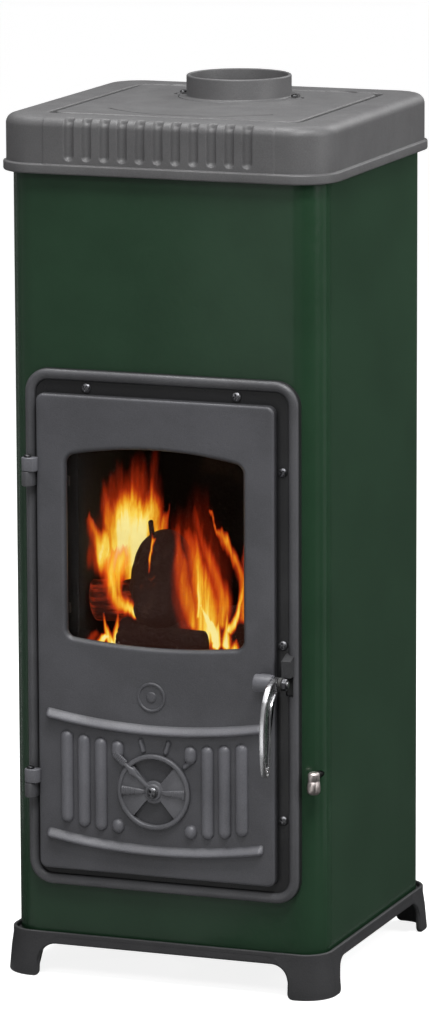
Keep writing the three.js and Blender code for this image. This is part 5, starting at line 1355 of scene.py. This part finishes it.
front_tongues = [
    ([(-45, 414), (-64, 422), (-79, 440), (-83, 462), (-76, 488)], (3, 9, 11, 11, 5),
     (0.95, 0.72, 0.66, 0.72, 0.55)),
    ([(-60, 424), (-70, 438), (-72, 458), (-69, 476), (-64, 490)], (2, 5, 8, 9, 4),
     (0.55, 0.62, 0.72, 0.8, 0.4)),
    ([(34, 398), (30, 440), (20, 480), (9, 520)], (17, 19, 13, 5), (0.84, 0.76, 0.62, 0.28)),
    ([(8, 402), (1, 440), (-4, 478)], (9, 10, 7), (0.26, 0.27, 0.12)),
    ([(-35, 470), (-32, 488), (-27, 508)], (1.0, 1.8, 1.0), (0.5, 0.8, 0.5)),
    ([(16, 408), (6, 448), (1, 486), (-5, 516)], (8, 10, 8, 4), (0.6, 0.55, 0.42, 0.2)),
    ([(50, 412), (52, 440), (41, 476), (26, 510), (18, 538)], (9, 10, 8, 6, 3), (0.7, 0.6, 0.5, 0.32, 0.16)),
    ([(44, 393), (37, 410), (25, 434)], (7, 4.5, 1), (1.25, 1.2, 0.9)),
    ([(22, 420), (22, 460), (16, 500)], (4, 4, 2), (0.85, 0.82, 0.5)),
    ([(60, 404), (72, 432), (75, 458), (66, 492), (52, 518), (38, 538)], (4, 4, 6, 5, 4, 2),
     (1.0, 0.8, 0.62, 0.55, 0.6, 0.5)),
    ([(78, 420), (82, 450), (80, 480), (76, 505)], (7, 8, 6, 2), (0.6, 0.6, 0.5, 0.25)),
    ([(45, 386), (47, 402), (49, 417)], (6, 4, 1), (1.2, 0.95, 0.6)),
    ([(57, 386), (58, 404), (57, 424)], (6, 4, 1), (1.15, 0.8, 0.5)),
    ([(66, 384), (68, 396)], (6, 2), (0.9, 0.4)),
    ([(-81, 380), (-86, 394), (-92, 414)], (5, 4, 1), (1.0, 0.8, 0.4)),
    ([(-76, 380), (-76, 398), (-73, 421)], (5, 3.5, 1), (0.95, 0.75, 0.4)),
    ([(-96, 380), (-90, 388), (-84, 390)], (4, 4, 3), (0.8, 1.0, 0.9)),
    ([(-50, 380), (-49, 400)], (4, 1), (0.5, 0.2)),
    ([(14, 380), (16, 390)], (5, 1), (0.9, 0.4)),
    ([(-112, 380), (-102, 388)], (8, 5), (0.35, 0.3)),
]
chamber_x, chamber_low, chamber_high = 114.0, 300.0, 622.0
sight_across, sight_up = 0.3785, 0.204
width_gain, heat_gain, least = 1.45, 0.97, 0.02
grid_across, grid_up = 230, 300


def flame_sheet(name, tongues, y, seed, bow):
    """An upright grid of points with a heat each. Its left part comes forwards by bow. A tongue keeps
    its place for the camera there, whose line of sight runs a little across and up for each step in
    depth. Before the tongues are read, x is pushed aside and z up by layered noise that is fine across
    and long upwards, which tears their edges into licks."""
    xs = np.linspace(-chamber_x, chamber_x, grid_across)
    zs = np.linspace(chamber_low, chamber_high, grid_up)
    u, v = (g.ravel() for g in np.meshgrid(xs, zs))
    depth = y - bow * ramp(-u, 45, chamber_x)
    x, z = u + sight_across * (depth - y), v + sight_up * (depth - y)
    lift = np.clip((z - 380) / 160, 0, 1)
    push = layered(x / 17, z / 62, seed) * (2.0 + 8 * lift)
    push = push + layered(x / 5, z / 24, seed + 9) * (0.7 + 2.2 * lift)
    rise = layered(x / 6.5, z / 75, seed + 5) * (3 + 17 * lift)
    heat = np.zeros(x.shape)
    for path, wide, hot in tongues:
        curve = through(np.column_stack([path, wide, hot]))
        w, h = np.maximum(curve[:, 2:], least).T
        heat = np.maximum(heat, tongue(x + push, z + rise, curve[:, :2], w * width_gain, h * heat_gain))
    coarse = 0.24 * layered((x + push) / 3.2, z / 46, seed + 21)
    fine = 0.1 * layered((x + push) / 1.4, z / 26, seed + 33)
    heat = heat * np.clip(1 + coarse + fine, 0.3, 1.6)
    edge = ramp(chamber_x - np.abs(u), 0, 6) * ramp(v, chamber_low, chamber_low + 40)
    mesh = bpy.data.meshes.new(name)
    faces = grid_faces(len(zs), len(xs), False, False)
    mesh.from_pydata((np.column_stack([u, depth, v]) * MM).tolist(), [], faces)
    corners = np.empty(len(mesh.loops), np.int32)
    mesh.loops.foreach_get("vertex_index", corners)
    pairs = np.column_stack([heat * edge, (v - chamber_low) / (chamber_high - chamber_low)])[corners]
    mesh.uv_layers.new(name="heat").data.foreach_set("uv", pairs.astype(np.float32).ravel())
    mesh.shade_smooth()
    dressed(in_scene(name, mesh), flame, "stove")


# %% Heat to colour
flame, tree, shader = finish("flame", (0, 0, 0), 1.0, Specular_IOR_Level=0.0)
parts_of_uv = add(tree, "ShaderNodeSeparateXYZ")
tree.links.new(add(tree, "ShaderNodeUVMap", uv_map="heat").outputs["UV"], parts_of_uv.inputs[0])
heat = parts_of_uv.outputs["X"]
colours = add(tree, "ShaderNodeValToRGB")
stops = [(0.0, (1.0, 0.05, 0.01)), (0.3, (1.0, 0.08, 0.012)), (0.45, (1.0, 0.15, 0.012)),
         (0.6, (1.0, 0.29, 0.014)), (0.75, (1.0, 0.48, 0.03)), (0.9, (1.0, 0.7, 0.1)),
         (1.0, (1.0, 0.87, 0.34))]
for k, (at, colour) in enumerate(stops):
    ends = {0: 0, len(stops) - 1: -1}
    stop = colours.color_ramp.elements[ends[k]] if k in ends else colours.color_ramp.elements.new(at)
    stop.position, stop.color = at, (*colour, 1)
tree.links.new(ranged(tree, heat, 0.0, 1.0), colours.inputs["Fac"])
tree.links.new(colours.outputs["Color"], shader.inputs["Emission Color"])
shader.inputs["Emission Strength"].default_value = 1.0
tree.links.new(ranged(tree, heat, 0.04, 0.85), shader.inputs["Alpha"])
flame_sheet("flames_rear", rear_tongues, -56, 11, 44)
flame_sheet("flames_front", front_tongues, -97, 47, 4)


# %% [markdown]
# ## Logs and embers
#
# A charred log is a bent, tapering rod whose skin has cracked into small plates. Its radius follows
# layered noise that is long along the grain, and the finest layer is folded, which makes sharp
# furrows. Its ends are broken, so they are pushed in and out as well.

# %% Charred wood
char, tree, shader = finish("charred_wood", (0.004, 0.003, 0.0026), 0.9, Specular_IOR_Level=0.15)
plates = add(tree, "ShaderNodeTexVoronoi", Scale=120.0, feature="DISTANCE_TO_EDGE")
tree.links.new(own_place(tree), plates.inputs["Vector"])
burning = noise_at(tree, own_place(tree), 26.0, Detail=5.0, Roughness=0.62)
ash = noise_at(tree, own_place(tree), 42.0, Detail=4.0)
coloured(tree, shader, ranged(tree, ash, 0.55, 0.72), (0.005, 0.0033, 0.0028), (0.02, 0.013, 0.01))
crack = ranged(tree, plates.outputs["Distance"], 0.0, 0.12, 1.0, 0.0)
live = maths(tree, "MULTIPLY", crack, ranged(tree, burning, 0.66, 0.8))
glowing = maths(tree, "MULTIPLY", live, 0.4)
coloured(tree, shader, glowing, (0.02, 0.007, 0.005), (1.0, 0.13, 0.01), "Emission Color")
shader.inputs["Emission Strength"].default_value = 0.9
bump(tree, shader, plates.outputs["Distance"], 0.8, 2.5)


def log_skin(start, end, radius, seed, bow=4.0, sides=48, steps=60, blunt=0.35, taper=0.0):
    """A rough log from start to end. Its ring radius is radius (1 + noise), and towards each end it
    closes as sqrt(1 - d^2) over blunt radii. Along its length it tapers as 1 - taper t^2."""
    start, end = np.asarray(start, float), np.asarray(end, float)
    length = np.linalg.norm(end - start)
    along = (end - start) / length
    side = np.cross(along, (0.13, 0.21, 0.97) if abs(along[2]) < 0.8 else (0.97, 0.2, 0.1))
    side /= np.linalg.norm(side)
    third = np.cross(along, side)
    t = np.sin(np.linspace(-np.pi / 2, np.pi / 2, steps)) * 0.5 + 0.5
    a = np.linspace(0, 2 * np.pi, sides, endpoint=False)
    s = (t * length)[:, None]
    wrap_x, wrap_y = np.cos(a)[None] * 2 + 9, np.sin(a)[None] * 2 + 9
    swell = layered(wrap_x + s / 90, wrap_y + s / 70, seed) * 0.16
    grain = np.abs(layered(wrap_x * 3.2 + 5, wrap_y * 3.2 + s / 34, seed + 3)) * -0.16
    from_end = np.minimum(s, length - s) / (radius * blunt)
    close = np.sqrt(np.clip(1 - (1 - np.minimum(from_end, 1)) ** 2, 0.0004, 1))
    r = radius * (1 + swell + grain) * close * (1 - taper * t[:, None] ** 2)
    middle = start + s * along + (np.sin(np.pi * t) * bow)[:, None] * third
    outwards = np.cos(a)[None, :, None] * side + np.sin(a)[None, :, None] * third
    return skin(middle[:, None] + r[..., None] * outwards)


smoulder, tree, shader = finish("smouldering_wood", (0.006, 0.004, 0.003), 0.9, Specular_IOR_Level=0.15)
fibres = noise_at(tree, stretched(tree, (0.14, 0.14, 1)), 210.0, Detail=4.0, Roughness=0.7)
zones = noise_at(tree, own_place(tree), 30.0, Detail=3.0)
red = maths(tree, "MULTIPLY", ranged(tree, fibres, 0.4, 0.66), ranged(tree, zones, 0.36, 0.62))
coloured(tree, shader, red, (0.02, 0.003, 0.0015), (0.34, 0.03, 0.008), "Emission Color")
shader.inputs["Emission Strength"].default_value = 1.0
bump(tree, shader, fibres, 0.7, 1.5)

# %% The logs, from the grate upwards
lower = [log_skin((-104, -72, 292), (100, -78, 293), 26, 3),
         log_skin((-98, -10, 291), (106, -4, 292), 25, 4),
         log_skin((-104, 58, 292), (98, 66, 291), 27, 5), log_skin((-70, -96, 338), (-62, 96, 342), 22, 6),
         log_skin((60, -98, 338), (52, 100, 341), 23, 7)]
upper = [log_skin((-78, -84, 387), (37, -90, 383), 22, 8, -3),
         log_skin((62, -76, 372), (112, -70, 380), 19, 10, 2),
         log_skin((-100, 30, 384), (104, 22, 388), 24, 12)]
left = [log_skin((-115, -82, 424), (-56, -60, 430), 24, 9, 2)]
standing = [log_skin((-30, -74, 392), (-27, -60, 509), 37, 14, 5, 56, 80, 0.7, 0.34),
            log_skin((-36, -66, 480), (-43, -74, 521), 3, 15, 2, 20, 30, 0.9)]
for name, solids, wood in (("logs_lower", lower, char), ("logs_upper", upper, char),
                           ("log_left", left, smoulder), ("log_standing", standing, char)):
    piece(name, solids, wood, "stove", smooth=55)

# %% A bed of embers
rng = np.random.default_rng(5)
lumps = []
lump_count = 150
for x, y, size, turn in zip(rng.uniform(-106, 106, lump_count), rng.uniform(-96, 120, lump_count),
                            rng.uniform(5, 11, lump_count), rng.uniform(0, 6.28, lump_count)):
    half = np.array([math.cos(turn), math.sin(turn), rng.uniform(-0.3, 0.3)]) * size
    centre = np.array([x, y, 268 + size * 0.6])
    lumps.append(log_skin(centre - half, centre + half, size * 0.62, int(size * 97), 0.5, 10, 9, 0.9))
embers, tree, shader = finish("embers", (0.02, 0.014, 0.012), 0.95)
heat_spots = noise_at(tree, own_place(tree), 38.0, Detail=4.0, Roughness=0.6)
coloured(tree, shader, ranged(tree, heat_spots, 0.46, 0.72), (0.02, 0.002, 0.0), (1.0, 0.2, 0.015),
         "Emission Color")
shader.inputs["Emission Strength"].default_value = 1.1
piece("ember_bed", lumps, embers, "stove", smooth=55)


# %% [markdown]
# ## Light, floor and camera
#
# A soft box high in front gives the broad highlights on edges that turn upwards. Enamel and chrome
# are mirrors of the studio, so a photographer sets dark cards round them. Here the cards are seen by
# reflections only: they make the enamel deep and leave narrow bright gaps for its round corners.

# %% World and lamps
scene = bpy.context.scene
scene.view_settings.view_transform = "Standard"
world = bpy.data.worlds.new("studio")
scene.world = world
world.use_nodes = True


def seen_rays(tree):
    """1 for the camera's rays, reflections and rays through glass, and 0 for light that fills shadows."""
    paths = add(tree, "ShaderNodeLightPath")
    seen = maths(tree, "MAXIMUM", paths.outputs["Is Camera Ray"], paths.outputs["Is Glossy Ray"])
    return maths(tree, "MAXIMUM", seen, paths.outputs["Is Transmission Ray"])


fill_light, seen_light, floor_light = 0.13, 1.0, 0.86
tree = world.node_tree
background = tree.nodes["Background"]
tree.links.new(ranged(tree, seen_rays(tree), 0, 1, fill_light, seen_light), background.inputs["Strength"])
background.inputs["Color"].default_value = (1, 1, 1, 1)


def soft_box(name, place, target, size, power):
    """A rectangular area lamp at a place, turned to a target."""
    lamp = bpy.data.lights.new(name, "AREA")
    lamp.shape, lamp.size, lamp.size_y, lamp.energy = "RECTANGLE", *size, power
    made = in_scene(name, lamp)
    made.location = place
    made.rotation_euler = (Vector(target) - Vector(place)).to_track_quat("-Z", "Y").to_euler()


soft_box("key", (1.2, -1.5, 3.6), (0.1, -0.15, 0.5), (1.4, 0.5), 84)
soft_box("top", (-0.6, -0.4, 3.0), (0, -0.15, 0.5), (2.0, 0.6), 44)
soft_box("side", (2.3, -0.1, 1.6), (0, 0, 0.5), (0.9, 1.4), 34)
soft_box("front", (0.4, -2.5, 2.5), (0, 0, 0.6), (1.2, 0.8), 26)
soft_box("back", (1.1, 2.6, 2.2), (0, 0.2, 0.5), (1.2, 1.2), 40)
print("lamps", [lamp.name for lamp in bpy.data.lights])

# %% Floor
floor_mesh = bpy.data.meshes.new("floor")
floor_mesh.from_pydata([(-30, -30, 0), (30, -30, 0), (30, 30, 0), (-30, 30, 0)], [], [(0, 1, 2, 3)])
floor = in_scene("floor", floor_mesh)
pale, tree, shader = finish("pale_floor", (0.5, 0.5, 0.5), 0.9)
shader.inputs["Emission Color"].default_value = (1, 1, 1, 1)
tree.links.new(ranged(tree, seen_rays(tree), 0, 1, 0.0, floor_light), shader.inputs["Emission Strength"])
floor_mesh.materials.append(pale)
print("floor at the height of the feet")


# %% Cards for the reflections
card_reach, card_foot, card_split, card_top = 0.85, 0.001, 0.36, 1.05
mat_inner, mat_outer, mat_z = 0.05, 0.86, 0.0015


def around_stove(radius, angle, z):
    """A place at a distance from the stove's axis, in a direction in radians from +X."""
    return radius * math.cos(angle), radius * math.sin(angle), z


def card(name, corners, grey):
    """A card of one grey through points in metres, seen by glossy rays only."""
    mesh = bpy.data.meshes.new(name)
    mesh.from_pydata(corners, [], [tuple(range(len(corners)))])
    made = in_scene(name, mesh)
    cloth = finish(name + "_cloth", (0, 0, 0), 1.0, Specular_IOR_Level=0.0, Emission_Strength=1.0,
                   Emission_Color=(grey, grey, grey, 1))[0]
    mesh.materials.append(cloth)
    made.visible_camera = made.visible_diffuse = made.visible_shadow = made.visible_transmission = False


def standing_card(name, start, end, low, high, grey):
    """An upright card between two directions round the stove, in degrees from +X."""
    a, b = math.radians(start), math.radians(end)
    card(name, [around_stove(card_reach, turn, z) for turn, z in ((a, low), (b, low), (b, high), (a, high))],
         grey)


for k, (start, end, high, grey) in enumerate((
        (203, 230, 1.05, 0.18), (230, 256, 1.05, 0.19), (274, 298, 1.05, 0.12), (298, 318, 1.1, 0.0),
        (318, 338, 1.2, 0.0), (338, 352, 1.2, 0.12), (352, 368, 1.4, 0.0), (368, 381, 1.5, 0.32),
        (381, 392, 1.5, 0.0), (392, 408, 1.5, 0.05), (408, 434, 1.5, 0.06), (434, 466, 1.5, 0.05),
        (466, 500, 1.5, 0.08), (500, 530, 1.5, 0.1), (532, 562, 1.4, 0.15))):
    standing_card(f"card_{k + 1}", start, end, card_foot, high, grey)
standing_card("card_low", 256, 274, card_foot, card_split, 0.95)
standing_card("card_high", 256, 274, card_split, card_top, 0.42)
mats_in_front, dark_mat, light_mat = (7, 8), 0.06, 0.3
for k, a in enumerate(np.radians(np.arange(0, 360, 30))):
    b = a + math.radians(30)
    card(f"mat_{k + 1}", [around_stove(r, turn, mat_z) for r, turn in
                          ((mat_inner, a), (mat_outer, a), (mat_outer, b), (mat_inner, b))],
         light_mat if k in mats_in_front else dark_mat)

# %% Camera
camera_place = Vector((2368.85, -6224.89, 1784.98)) * MM
camera_right = Vector((0.93521858, 0.35404798, -0.00402997))
camera_up = Vector((-0.06264447, 0.17665632, 0.98227706))
camera = in_scene("camera", bpy.data.cameras.new("camera"))
lens, sensor, far_end = 207.5, 36, 100
camera.data.lens, camera.data.sensor_width, camera.data.clip_end = lens, sensor, far_end
turned_camera = Matrix((camera_right, camera_up, camera_right.cross(camera_up))).transposed()
camera.matrix_world = Matrix.Translation(camera_place) @ turned_camera.to_4x4()
scene.camera = camera
print("camera at", tuple(round(v, 3) for v in camera_place), "lens", lens)

# %% [markdown]
# ## Last step
#
# The view layer is updated once more, so that every piece's place is current.

# %% Finish
bpy.context.view_layer.update()
